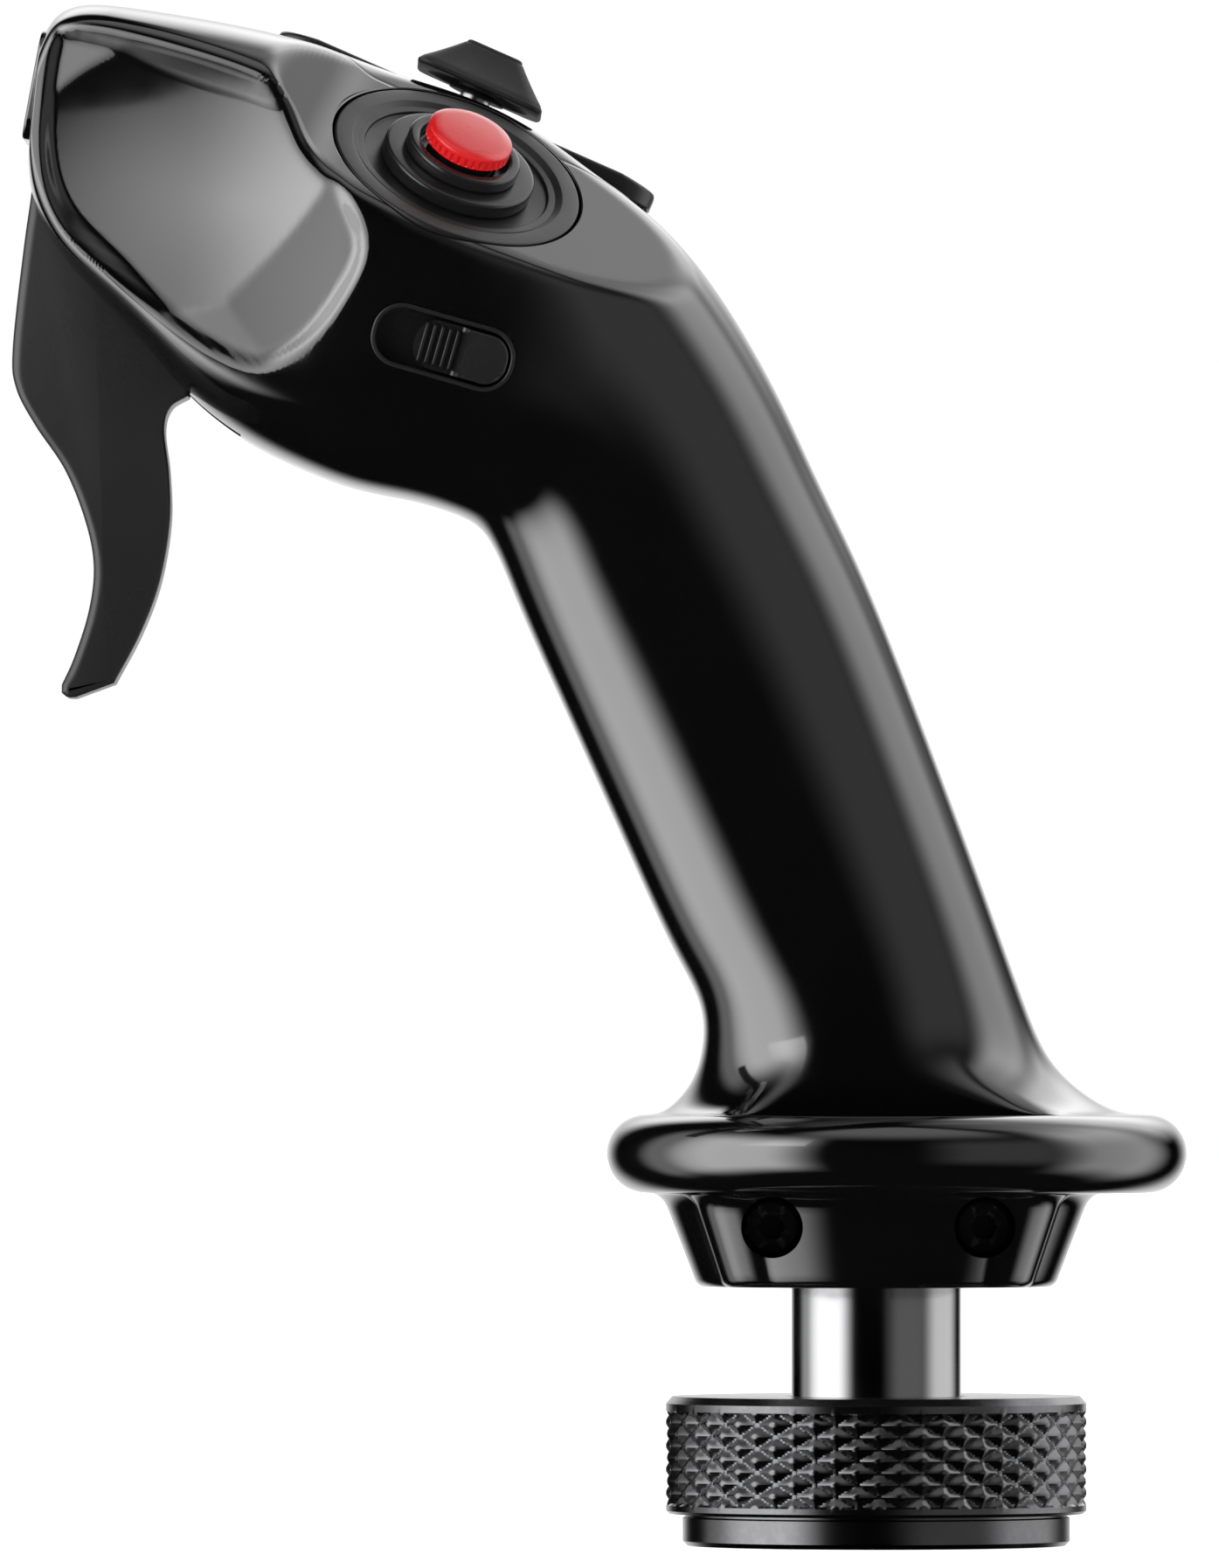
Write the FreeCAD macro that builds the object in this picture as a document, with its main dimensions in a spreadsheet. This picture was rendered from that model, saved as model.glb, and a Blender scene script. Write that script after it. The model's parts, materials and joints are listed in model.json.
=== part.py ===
"""A flight joystick grip: two moulded halves clamped on a steel tube, with switches and a coupling nut.

Frame: millimetres, +Z up, nose towards -X, the pilot's left is -Y. The origin is the centre of the
coupling nut's bottom face, on the nut's axis.
"""
import FreeCAD, Part
import math
import os

import Sketcher
from FreeCAD import Placement, Rotation, Vector

DIMENSIONS = {
    # coupling nut and its washer
    "nut_radius": 26.5, "nut_height": 18.8, "nut_band_bottom": 4.0, "nut_lip_radius": 24.4,
    "thread_radius": 16.9, "thread_length": 9.5, "relief_radius": 17.6, "nut_web": 4.2,
    "nut_chamfer": 0.6,
    "washer_radius": 16.2, "washer_thickness": 0.5,
    # mounting tube
    "tube_radius": 10.7, "tube_bore": 9.1, "tube_top": 74.0, "flange_radius": 16.3,
    "flange_bottom": 10.0, "flange_top": 14.0, "running_gap": 0.3,
    "circlip_radius": 12.6, "circlip_thickness": 1.2, "circlip_groove": 10.1, "circlip_height": 58.6,
    "circlip_mouth": 5.0, "cross_pin_radius": 1.5, "cross_pin_height": 50.0, "cross_pin_half": 15.0,
    # plug insert in the tube's foot
    "plug_face": 10.6, "plug_top": 25.0, "plug_recess": 2.6, "plug_recess_radius": 7.4,
    "contact_radius": 0.5, "contact_circle": 4.2, "contact_length": 15.6, "contact_count": 5,
    "contact_start": 50.0, "contact_sweep": 260.0, "contact_set_back": 0.4,
    "plug_key_start": 6.6, "plug_key_end": 9.0, "plug_key_half": 1.2,
    # hand rest flange and collar
    "rest_radius": 36.5, "rest_offset": 2.6, "rest_bottom": 44.4, "rest_top": 54.2,
    "collar_bottom": 32.6, "collar_foot_x": 19.3, "collar_foot_y": 17.6, "collar_foot_corner": 6.0,
    "collar_head_x": 23.2, "collar_head_y": 21.4, "collar_head_corner": 7.5, "collar_head": 44.6,
    "clamp_screw_x": 13.3, "clamp_screw_height": 40.2, "clamp_hole": 3.85, "clamp_hole_depth": 10.2,
    "clamp_shank": 2.0, "clamp_head": 3.5, "clamp_head_height": 4.0, "clamp_length": 21.0,
    "clamp_nut_flats": 7.0, "clamp_nut_hole": 4.2, "clamp_nut_height": 3.2, "hex_key": 3.0,
    # shells
    "wall": 2.8, "fire_wall": 3.4, "cavity_floor": 58.0, "cavity_front": -78.0, "well_radius": 14.0,
    "well_height": 14.0, "boss_radius": 3.4, "pilot_radius": 1.2, "past_side": 30.0,
    "fire_hole_depth": 9.0, "housing_hole_depth": 12.0, "housing_gap": 0.2, "tray_hole_depth": 7.0,
    "case_screw_shank": 1.2, "case_screw_head": 2.9, "case_screw_head_height": 2.2,
    "case_screw_length": 14.0, "case_screw_sink": 12.0, "case_screw_hole": 3.1,
    "nose_toe": 13.6, "nose_face_x": -62.3, "nose_face_y": 25.2, "nose_face_height": 159.0,
    "scoop_radius": 95.0, "scoop_depth": 1.4, "scoop_x": -86.0, "scoop_height": 169.0,
    # nose cap
    "cap_half_width": 11.5, "cap_height": 14.0, "cap_thickness": 1.9, "cap_corner": 3.0,
    "cap_x": -105.8, "cap_z": 183.6, "cap_lean": 10.5, "cap_inset": 1.5,
    # fire button on the left chamfer of the head
    "fire_x": -52.6, "fire_y": -10.5, "fire_z": 173.4, "fire_tilt": 23.7, "fire_roll": 31.8,
    "bezel_radius": 16.3, "bezel_gap": 0.3, "bezel_depth": 2.0, "bezel_step": 14.0,
    "bezel_slope": 13.0, "bezel_slope_depth": 0.5, "bezel_floor_radius": 12.2, "bezel_floor": 0.9,
    "bezel_web": 1.8, "bezel_skirt": 1.6, "ring_nut_radius": 9.9, "ring_nut_top": 1.2, "bushing_radius": 7.4,
    "bushing_top": 3.0, "bushing_body": 6.0, "bushing_length": 8.0, "button_radius": 5.5,
    "pad_top": 17.4, "pad_foot": 22.0, "pad_depth": 9.0, "fire_brow_x": -16.8,
    "fire_brow_rise": 38.0, "button_top": 5.6, "button_skirt": 3.3,
    "button_well": 5.9, "button_well_depth": 1.9, "plunger_radius": 4.3, "plunger_length": 9.4,
    "plunger_pin": 1.4, "plunger_shoulder": 3.4, "edge": 0.4, "leg_radius": 0.5, "leg_pitch": 4.0,
    "leg_length": 3.0,
    # hat switch on the head's top right
    "hat_x": -52.4, "hat_y": 13.0, "hat_z": 178.9, "hat_tilt": 23.8, "hat_roll": 2.0,
    "plate_length": 51.8, "plate_width": 15.0, "plate_end": 2.2, "plate_crown": 3.8,
    "plate_corner": 5.0, "plinth_depth": 6.0, "stem_hole": 3.3, "stem_radius": 2.0, "stem_foot": 3.6,
    "pivot_depth": 3.0, "gimbal_outer": 6.0, "gimbal_inner": 4.4, "gimbal_height": 1.8,
    "gimbal_pin": 0.8, "housing_half": 8.0, "housing_depth": 9.6, "housing_chamber": 6.4,
    "housing_wall": 1.4, "housing_corner": 1.4, "cap_hollow": 2.2, "rim_height": 5.3,
    "rim_land": 0.8, "cap_top_height": 10.9,
    "rim_half": 8.5, "rim_corner": 2.2, "crest_half": 3.8, "crest_corner": 1.0,
    "skirt_bottom": 4.6, "skirt_radius": 3.8, "skirt_neck": 2.7, "plate_screw_x": 19.5,
    "plate_screw_shank": 1.0, "plate_screw_head": 2.0, "plate_screw_length": 6.0,
    # slide switch on the left side
    "slide_x": -54.4, "slide_y": -24.0, "slide_z": 150.1, "slide_slope": 16.0, "slide_lean": 2.5,
    "tray_length": 18.4, "tray_width": 8.2, "tray_corner": 3.8, "tray_depth": 5.0,
    "tray_wall": 0.6, "tray_floor": 1.0, "knob_length": 12.0, "knob_width": 6.2,
    "knob_corner": 2.7, "knob_height": 4.3, "knob_valley": 2.5, "tooth_height": 0.6,
    "tooth_pitch": 1.0, "slide_travel": 4.0, "tongue_length": 3.0, "tongue_width": 1.6,
    "slide_body_length": 14.0, "slide_body_width": 7.0, "slide_body_depth": 6.0,
    "tongue_depth": 1.4, "slot_gap": 0.3, "channel_depth": 2.2, "tooth_count": 5, "slide_lift": 0.05,
    # trigger
    "trigger_half": 6.6, "slot_half": 7.1, "slot_front": -114.0, "slot_rear": -80.0,
    "slot_floor": 137.4, "slot_height": 38.0, "recess_rear": -73.5, "recess_floor": 141.4,
    "recess_length": 8.0, "recess_height": 14.2, "pivot_x": -97.0, "pivot_z": 166.0, "pin_radius": 1.5,
    "pin_half": 12.0, "pin_fit": 0.06, "trigger_bevel": 1.4, "spring_wire": 0.35,
    "spring_radius": 2.2, "spring_pitch": 1.35, "spring_length": 6.6, "spring_z": 160.2,
    "spring_x": -87.0, "microswitch_length": 12.8, "microswitch_height": 6.5,
    "microswitch_width": 5.8, "switch_recess": 6.7, "switch_x": -78.8, "switch_y": 3.1,
    "switch_height": 148.5, "switch_hole": 1.1, "switch_hole_x": 3.2, "switch_hole_drop": 1.2,
    "terminal_x": 4.6, "terminal_thickness": 0.3, "terminal_half": 1.6,
    # circuit board and loom
    "board_length": 46.0, "board_width": 20.0, "board_thickness": 1.6, "board_x": -17.8,
    "board_z": 106.0, "board_y": 4.0, "grip_lean": 23.5, "chip_height": 2.0,
    "loom_radius": 1.8, "loom_x": -4.6, "loom_bend": 72.0, "loom_end_x": -9.4, "loom_end_y": -1.0,
    "loom_end_z": 84.4,
}

# The shell's stations, foot to nose: front point x, z, rear point x, z, half width and squareness.
STATIONS = [
    (-30.0, 51.0, 35.0, 51.0, 31.0, 2.05), (-27.0, 54.6, 31.0, 54.4, 27.5, 2.10),
    (-23.9, 57.4, 26.0, 57.0, 23.2, 2.15), (-22.2, 61.2, 21.8, 61.3, 20.2, 2.20),
    (-21.8, 66.1, 18.7, 68.1, 18.6, 2.25), (-25.0, 74.1, 13.3, 83.1, 17.8, 2.30),
    (-31.6, 88.3, 6.0, 102.7, 17.4, 2.30), (-39.8, 106.6, -2.1, 123.0, 17.6, 2.30),
    (-45.6, 119.8, -8.4, 136.3, 18.4, 2.35), (-49.1, 127.2, -12.7, 145.4, 19.4, 2.40),
    (-52.9, 129.9, -18.1, 154.9, 20.8, 2.50), (-58.4, 131.6, -24.6, 163.6, 22.6, 2.65),
    (-65.1, 133.0, -33.5, 171.6, 24.4, 2.80), (-72.8, 135.8, -45.9, 179.5, 25.6, 2.90),
    (-80.1, 139.6, -58.8, 185.1, 26.0, 3.00), (-87.2, 145.4, -71.7, 189.3, 25.8, 3.00),
    (-93.6, 152.7, -83.5, 191.9, 25.0, 3.00), (-99.3, 158.5, -92.9, 193.5, 23.8, 3.00),
    (-103.7, 163.8, -99.9, 194.0, 22.0, 2.90), (-106.0, 168.9, -103.3, 192.3, 19.5, 2.80),
    (-106.7, 173.4, -105.2, 189.1, 16.0, 2.60),
]
CAVITY_STATIONS = range(4, 17)
SECTION_POINTS = 28

# The trigger's side outline: the lever's front, its tip, its back and the hidden head, x and z.
TRIGGER_FRONT = [(-106.2, 171.1), (-107.4, 162.6), (-108.8, 150.6), (-108.3, 145.7), (-105.9, 141.0),
                 (-102.1, 135.3), (-99.5, 128.7), (-98.5, 123.2), (-99.1, 117.7), (-100.9, 111.9),
                 (-102.5, 108.3)]
TRIGGER_TIP = [(-102.2, 106.8), (-100.8, 106.7)]
TRIGGER_BACK = [(-95.9, 108.5), (-92.6, 114.7), (-90.2, 121.1), (-88.9, 128.6), (-89.0, 134.9),
                (-89.6, 140.4), (-88.8, 143.2), (-86.6, 144.6)]
TRIGGER_HEAD = [(-86.3, 149.3), (-87.6, 153.5), (-87.6, 161.2), (-91.1, 169.0), (-97.0, 172.1),
                (-102.9, 172.3)]
# The parts on the circuit board: middle across and along the board, and half sizes.
CHIPS = [(0, 2, 3.5, 3.5), (-6, 14, 2, 2.5), (5, 14, 3, 2), (0, -15, 6, 2.5), (6, -6, 1.5, 1.5)]
CASE_SCREWS = [(-85.0, 179.4), (-66.0, 141.0), (-24.6, 150.1), (-29.2, 98.5)]

doc = FreeCAD.newDocument("flight_joystick")
sheet = doc.addObject("Spreadsheet::Sheet", "dims")
for row, (alias, amount) in enumerate(DIMENSIONS.items(), start=1):
    sheet.set(f"A{row}", alias)
    sheet.set(f"B{row}", str(amount))
    sheet.setAlias(f"B{row}", alias)
doc.recompute()


class Size:
    """A length or angle together with the spreadsheet formula that gives it."""

    def __init__(self, value, formula):
        self.value, self.formula = float(value), str(formula)

    def _join(self, other, sign, value):
        text = other.formula if isinstance(other, Size) else str(other)
        return Size(value, f"({self.formula} {sign} {text})")

    def __add__(self, other):
        return self._join(other, "+", self.value + number(other))

    def __sub__(self, other):
        return self._join(other, "-", self.value - number(other))

    def __mul__(self, other):
        return self._join(other, "*", self.value * number(other))

    def __truediv__(self, other):
        return self._join(other, "/", self.value / number(other))

    def __rsub__(self, other):
        return Size(other - self.value, f"({other} - {self.formula})")

    def __neg__(self):
        return self * -1


def number(amount):
    return amount.value if isinstance(amount, Size) else float(amount)


def size(alias):
    return Size(getattr(sheet, alias), f"dims.{alias}")


def amount(alias):
    return float(getattr(sheet, alias))


def bind(target, path, length):
    """Sets a property or constraint from a number, or binds it to the sheet if it is a Size."""
    if isinstance(length, Size):
        target.setExpression(path, length.formula)


# ---------------------------------------------------------------- PartDesign helpers
def new_body(label):
    body = doc.addObject("PartDesign::Body", label)
    body.Label = label
    return body


def origin_plane(body, role):
    return next(f for f in body.Origin.OriginFeatures if f.Role == role)


def new_sketch(body, role="XY_Plane", offset=0.0):
    sketch = body.newObject("Sketcher::SketchObject", body.Name + "_sketch")
    sketch.AttachmentSupport = (origin_plane(body, role), [""])
    sketch.MapMode = "FlatFace"
    if number(offset):
        sketch.AttachmentOffset = Placement(Vector(0, 0, number(offset)), Rotation())
        bind(sketch, "AttachmentOffset.Base.z", offset)
    return sketch


def hold_point(sketch, geometry, end, x, y):
    """Fixes one point of the sketch's geometry at x, y from the sketch's origin."""
    for kind, value in (("DistanceX", x), ("DistanceY", y)):
        index = sketch.addConstraint(Sketcher.Constraint(kind, -1, 1, geometry, end, number(value)))
        bind(sketch, f"Constraints[{index}]", value)


def polygon(sketch, points):
    """A closed outline of straight lines whose corners are held at the given sizes."""
    first = sketch.GeometryCount
    count = len(points)
    for i, start in enumerate(points):
        end = points[(i + 1) % count]
        sketch.addGeometry(Part.LineSegment(Vector(number(start[0]), number(start[1]), 0),
                                            Vector(number(end[0]), number(end[1]), 0)))
    for i, (x, y) in enumerate(points):
        sketch.addConstraint(Sketcher.Constraint("Coincident", first + (i - 1) % count, 2, first + i, 1))
        hold_point(sketch, first + i, 1, x, y)


def circle(sketch, x, y, radius):
    index = sketch.addGeometry(Part.Circle(Vector(number(x), number(y), 0), Vector(0, 0, 1),
                                           number(radius)))
    hold_point(sketch, index, 3, x, y)
    held = sketch.addConstraint(Sketcher.Constraint("Radius", index, number(radius)))
    bind(sketch, f"Constraints[{held}]", radius)


def rounded_rectangle(sketch, half_x, half_y, corner):
    """A rectangle centred on the sketch's origin, with four tangent corner arcs."""
    radius = number(corner)
    inner_x, inner_y = number(half_x) - radius, number(half_y) - radius
    first = sketch.GeometryCount
    quarters = [(1, 1), (-1, 1), (-1, -1), (1, -1)]
    for i, (sx, sy) in enumerate(quarters):
        centre = Vector(sx * inner_x, sy * inner_y, 0)
        arc = Part.Circle(centre, Vector(0, 0, 1), radius)
        sketch.addGeometry(Part.ArcOfCircle(arc, i * math.pi / 2, (i + 1) * math.pi / 2))
        hold_point(sketch, first + i, 3, (half_x - corner) * sx, (half_y - corner) * sy)
        held = sketch.addConstraint(Sketcher.Constraint("Radius", first + i, radius))
        bind(sketch, f"Constraints[{held}]", corner)
    corners = [sketch.Geometry[first + i] for i in range(4)]
    for i in range(4):
        line = sketch.addGeometry(Part.LineSegment(corners[i].EndPoint, corners[(i + 1) % 4].StartPoint))
        sketch.addConstraint(Sketcher.Constraint("Tangent", first + i, 2, line, 1))
        sketch.addConstraint(Sketcher.Constraint("Tangent", line, 2, first + (i + 1) % 4, 1))


def revolve(body, sketch, kind="PartDesign::Revolution"):
    feature = body.newObject(kind, body.Name + "_turned")
    feature.Profile = sketch
    feature.ReferenceAxis = (sketch, ["V_Axis"])
    feature.Angle = 360
    return feature


def pad(body, sketch, length, symmetric=False, reverse=False, kind="PartDesign::Pad"):
    feature = body.newObject(kind, body.Name + "_" + kind.split("::")[1].lower())
    feature.Profile = sketch
    feature.Length = number(length)
    bind(feature, "Length", length)
    feature.SideType = "Symmetric" if symmetric else "One side"
    feature.Reversed = reverse
    return feature


def pocket(body, sketch, length, symmetric=False, reverse=False):
    doc.recompute()
    before = body.Shape.Volume
    feature = pad(body, sketch, length, symmetric, reverse, "PartDesign::Pocket")
    doc.recompute()
    if body.Shape.Volume >= before - 1e-6:
        raise ValueError(f"a pocket in {body.Label} cuts nothing")
    return feature


def turned(label, points):
    """A piece turned about Z from its half section in X and Z."""
    body = new_body(label)
    sketch = new_sketch(body, "XZ_Plane")
    polygon(sketch, points)
    revolve(body, sketch)
    return body


def block(label, length, width, height):
    """A block centred on Z with its top at Z = 0."""
    body = new_body(label)
    sketch = new_sketch(body)
    polygon(sketch, [(-(length / 2), -(width / 2)), (length / 2, -(width / 2)),
                     (length / 2, width / 2), (-(length / 2), width / 2)])
    pad(body, sketch, height, reverse=True)
    return body


# ---------------------------------------------------------------- frames on the head
def frame_at(x, y, z, tilt, roll):
    """Where a piece sits on the head: tilted back about Y, then rolled about its own X."""
    turn = Rotation(Vector(0, 1, 0), tilt) * Rotation(Vector(1, 0, 0), roll)
    return Placement(Vector(x, y, z), turn)


FIRE = frame_at(amount("fire_x"), amount("fire_y"), amount("fire_z"), amount("fire_tilt"),
                amount("fire_roll"))
HAT = frame_at(amount("hat_x"), amount("hat_y"), amount("hat_z"), amount("hat_tilt"),
               -amount("hat_roll"))
SLIDE = frame_at(amount("slide_x"), amount("slide_y"), amount("slide_z"), amount("slide_slope"),
                 90 + amount("slide_lean"))
PIVOT = HAT * Placement(Vector(0, 0, -amount("pivot_depth")), Rotation())


def shifted(placement, x=0.0, y=0.0, z=0.0):
    return placement * Placement(Vector(x, y, z), Rotation())


def place(item, placement):
    item.Placement = placement
    return item


def feature(label, shape):
    item = doc.addObject("Part::Feature", label)
    item.Label = label
    item.Shape = shape
    return item


def group_of(label, master, placements):
    """One node that holds the same piece several times, as separate solids."""
    doc.recompute()
    copies = []
    for placement in placements:
        copy = master.Shape.copy()
        copy.Placement = placement * copy.Placement
        copies.append(copy)
    return feature(label, Part.makeCompound(copies))


# ---------------------------------------------------------------- shells
def section_points(station, inset=0.0):
    """Points round the shell at one station, drawn in by inset."""
    front_x, front_z, rear_x, rear_z, half_width, squareness = station
    front, rear = Vector(front_x, 0, front_z), Vector(rear_x, 0, rear_z)
    centre, across = (front + rear) * 0.5, (rear - front)
    depth = across.Length / 2 - inset
    across.normalize()
    power = 2.0 / squareness
    points = []
    for i in range(SECTION_POINTS):
        angle = 2 * math.pi * i / SECTION_POINTS
        along, aside = round(math.cos(angle), 9), round(math.sin(angle), 9)
        points.append(centre + across * (depth * math.copysign(abs(along) ** power, along))
                      + Vector(0, (half_width - inset) * math.copysign(abs(aside) ** power, aside), 0))
    return points


def closed_curve(points):
    """A smooth closed curve through the points, evenly parametrised."""
    curve = Part.BSplineCurve()
    steps = [i / len(points) for i in range(len(points) + 1)]
    curve.interpolate(Points=points, PeriodicFlag=True, Parameters=steps)
    return curve


def station_steps(stations):
    """How far along the spine each station lies, from 0 to 1."""
    middles = [Vector((s[0] + s[2]) / 2, 0, (s[1] + s[3]) / 2) for s in stations]
    steps = [0.0]
    for before, after in zip(middles, middles[1:]):
        steps.append(steps[-1] + (after - before).Length)
    return [step / steps[-1] for step in steps]


def skinned(stations, inset=0.0):
    """A solid with one smooth skin through the stations' closed curves and a flat cap at each end."""
    rings = [closed_curve(section_points(station, inset)) for station in stations]
    steps = station_steps(stations)
    ribs = []
    for poles in zip(*[ring.getPoles() for ring in rings]):
        rib = Part.BSplineCurve()
        rib.interpolate(Points=list(poles), Parameters=steps)
        ribs.append(rib)
    net = [list(row) for row in zip(*[rib.getPoles() for rib in ribs])]
    skin = Part.BSplineSurface()
    skin.buildFromPolesMultsKnots(net, ribs[0].getMultiplicities(), rings[0].getMultiplicities(),
                                  ribs[0].getKnots(), rings[0].getKnots(), False, True, 3, 3)
    caps = [Part.Face(Part.Wire([ring.toShape()])) for ring in (rings[0], rings[-1])]
    shell = Part.makeShell([skin.toShape()] + caps)
    shell.sewShape()
    solid = Part.Solid(shell)
    if solid.Volume < 0:
        solid.reverse()
    return solid


def facing_block(placement, depth=0.0, reach=60.0):
    """The space outside a flat facet whose outward normal is the placement's Z."""
    box = Part.makeBox(2 * reach, 2 * reach, reach, Vector(-reach, -reach, -depth))
    box.Placement = placement
    return box


def fire_facet(depth=0.0):
    """The space above the fire button's flat, which ends towards the nose in a rising brow."""
    flat = facing_block(FIRE, depth)
    turn = Rotation(Vector(0, 1, 0), amount("fire_brow_rise"))
    brow = facing_block(FIRE * Placement(Vector(amount("fire_brow_x"), 0, -depth), turn))
    return flat.common(brow)


def nose_facet(side, depth=0.0):
    """The space outside the flat that tapers the nose on one side, side being -1 left, 1 right."""
    toe = amount("nose_toe")
    turn = Rotation(Vector(0, 0, 1), side * toe) * Rotation(Vector(1, 0, 0), -90 * side)
    start = Vector(amount("nose_face_x"), side * amount("nose_face_y"), amount("nose_face_height"))
    return facing_block(Placement(start, turn), depth)


def nose_scoop(side):
    """The ball that hollows the nose's flat into a shallow dish."""
    toe = math.radians(amount("nose_toe"))
    outward = Vector(-math.sin(toe), side * math.cos(toe), 0)
    start = Vector(amount("nose_face_x"), side * amount("nose_face_y"), 0)
    along = Vector(-math.cos(toe), -side * math.sin(toe), 0)
    middle = start + along * ((amount("nose_face_x") - amount("scoop_x")) / math.cos(toe))
    middle.z = amount("scoop_height")
    centre = middle + outward * (amount("scoop_radius") - amount("scoop_depth"))
    ball = Part.makeSphere(amount("scoop_radius"), centre)
    keep = Part.makeBox(60, 60, 60, middle - Vector(22, 30, 30))
    return ball.common(keep)


def along_y(radius, x, z, start, end):
    """A cylinder parallel to Y."""
    return Part.makeCylinder(radius, end - start, Vector(x, start, z), Vector(0, 1, 0))


def in_frame(shape, placement):
    moved = shape.copy()
    moved.Placement = placement * moved.Placement
    return moved


def rounded_prism(half_x, half_y, corner, bottom, top):
    """A prism with rounded corners, standing on Z = bottom."""
    box = Part.makeBox(2 * half_x, 2 * half_y, top - bottom, Vector(-half_x, -half_y, bottom))
    upright = [e for e in box.Edges if abs(e.tangentAt(e.FirstParameter).z) > 0.9]
    return box.makeFillet(corner, upright)


def rounded_wire(half_x, half_y, corner, height):
    """The outline of a rounded rectangle at one height."""
    face = rounded_prism(half_x, half_y, corner, height, height + 1).Faces
    bottom = min(face, key=lambda f: f.CenterOfMass.z)
    return bottom.OuterWire


def plate_outline(bottom, top):
    """The hat plate's outline as a prism in the hat's frame."""
    half_x, half_y = amount("plate_length") / 2, amount("plate_width") / 2
    return rounded_prism(half_x, half_y, amount("plate_corner"), bottom, top)


def make_rest():
    """The hand rest: a round rim with a thick rolled edge."""
    bottom, top, radius = amount("rest_bottom"), amount("rest_top"), amount("rest_radius")
    roll = (top - bottom) / 2
    disc = Part.makeCylinder(radius - roll, top - bottom, Vector(amount("rest_offset"), 0, bottom))
    rim = Part.makeTorus(radius - roll, roll, Vector(amount("rest_offset"), 0, bottom + roll))
    return disc.fuse(rim)


def make_outer():
    """The closed outer form of both shells together."""
    grip = skinned(STATIONS)
    pad_top, pad_foot, pad_depth = amount("pad_top"), amount("pad_foot"), amount("pad_depth")
    fire_pad = Part.makeCone(pad_foot, pad_top, pad_depth, Vector(0, 0, -pad_depth))
    plinth = plate_outline(-amount("plinth_depth"), 0)
    grip = grip.fuse([in_frame(fire_pad, FIRE), in_frame(plinth, HAT)])
    grip = grip.cut([fire_facet(), in_frame(plate_outline(0, 20), HAT), facing_block(SLIDE)])
    for side in (-1, 1):
        grip = grip.cut(nose_facet(side)).cut(nose_scoop(side))
    foot = rounded_wire(amount("collar_foot_x"), amount("collar_foot_y"), amount("collar_foot_corner"),
                        amount("collar_bottom"))
    head = rounded_wire(amount("collar_head_x"), amount("collar_head_y"), amount("collar_head_corner"),
                        amount("collar_head"))
    collar = Part.makeLoft([foot, head], True, True)
    return grip.fuse([make_rest(), collar])


def make_cavity():
    """The hollow inside the grip and head."""
    wall = amount("wall")
    hollow = skinned([STATIONS[i] for i in CAVITY_STATIONS], wall)
    hollow = hollow.cut([fire_facet(amount("fire_wall")), in_frame(plate_outline(-wall, 20), HAT)])
    hollow = hollow.cut(facing_block(SLIDE, wall))
    for side in (-1, 1):
        hollow = hollow.cut(nose_facet(side, wall + amount("scoop_depth")))
    front_wall = Part.makeBox(40, 80, 80, Vector(amount("cavity_front") - 40, -40, 130))
    well = Part.makeCylinder(amount("well_radius"), amount("well_height"),
                             Vector(0, 0, amount("cavity_floor")))
    return hollow.cut(front_wall).fuse(well)


def make_openings():
    """Every hole through the shells, as one list of solids."""
    slot_half, recess = amount("slot_half"), amount("switch_recess")
    slot_corner = Vector(amount("slot_front"), -slot_half, amount("slot_floor"))
    slot_length = amount("slot_rear") - amount("slot_front")
    recess_corner = Vector(amount("recess_rear") - amount("recess_length"), -recess, amount("recess_floor"))
    fire_hole = Part.makeCylinder(amount("bezel_radius") + amount("bezel_gap"),
                                  amount("fire_hole_depth") + amount("pad_depth"),
                                  Vector(0, 0, -amount("fire_hole_depth")))
    housing_x = amount("housing_half") + amount("housing_gap")
    hat_hole = rounded_prism(housing_x, housing_x - 1, amount("housing_corner"),
                             -amount("housing_hole_depth"), amount("plate_crown"))
    slide_hole = rounded_prism(amount("tray_length") / 2, amount("tray_width") / 2, amount("tray_corner"),
                               -amount("tray_hole_depth"), amount("tray_depth"))
    cap_hole = rounded_prism(amount("cap_height") / 2, amount("cap_half_width"), amount("cap_corner"),
                             -amount("cap_inset"), amount("pad_depth"))
    tools = [
        Part.makeBox(slot_length, 2 * slot_half, amount("slot_height"), slot_corner),
        Part.makeBox(amount("recess_length"), 2 * recess, amount("recess_height"), recess_corner),
        Part.makeCylinder(amount("tube_radius"), amount("tube_top") - amount("collar_bottom"),
                          Vector(0, 0, amount("collar_bottom") - 1)),
        in_frame(fire_hole, FIRE),
        in_frame(hat_hole, HAT),
        in_frame(slide_hole, SLIDE),
        in_frame(cap_hole, cap_frame()),
        along_y(amount("pin_radius"), amount("pivot_x"), amount("pivot_z"),
                -amount("pin_half"), amount("pin_half")),
        along_y(amount("cross_pin_radius"), 0, amount("cross_pin_height"),
                -amount("cross_pin_half"), amount("cross_pin_half")),
    ]
    past = amount("past_side")
    for x in (-amount("clamp_screw_x"), amount("clamp_screw_x")):
        z, depth = amount("clamp_screw_height"), amount("clamp_hole_depth")
        tools += [along_y(amount("clamp_shank"), x, z, -past, past),
                  along_y(amount("clamp_hole"), x, z, -past, -depth),
                  along_y(amount("clamp_nut_hole"), x, z, depth, past)]
    for x, z in CASE_SCREWS:
        tools += [along_y(amount("pilot_radius"), x, z, -amount("case_screw_length") / 2, past),
                  along_y(amount("case_screw_hole"), x, z, amount("case_screw_sink"), past)]
    pilot_depth = amount("plate_screw_length") - 1
    for x in (-amount("plate_screw_x"), amount("plate_screw_x")):
        screw = Part.makeCylinder(amount("plate_screw_shank"), pilot_depth + amount("plate_end"),
                                  Vector(x, 0, -pilot_depth))
        tools.append(in_frame(screw, HAT))
    return tools


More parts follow.
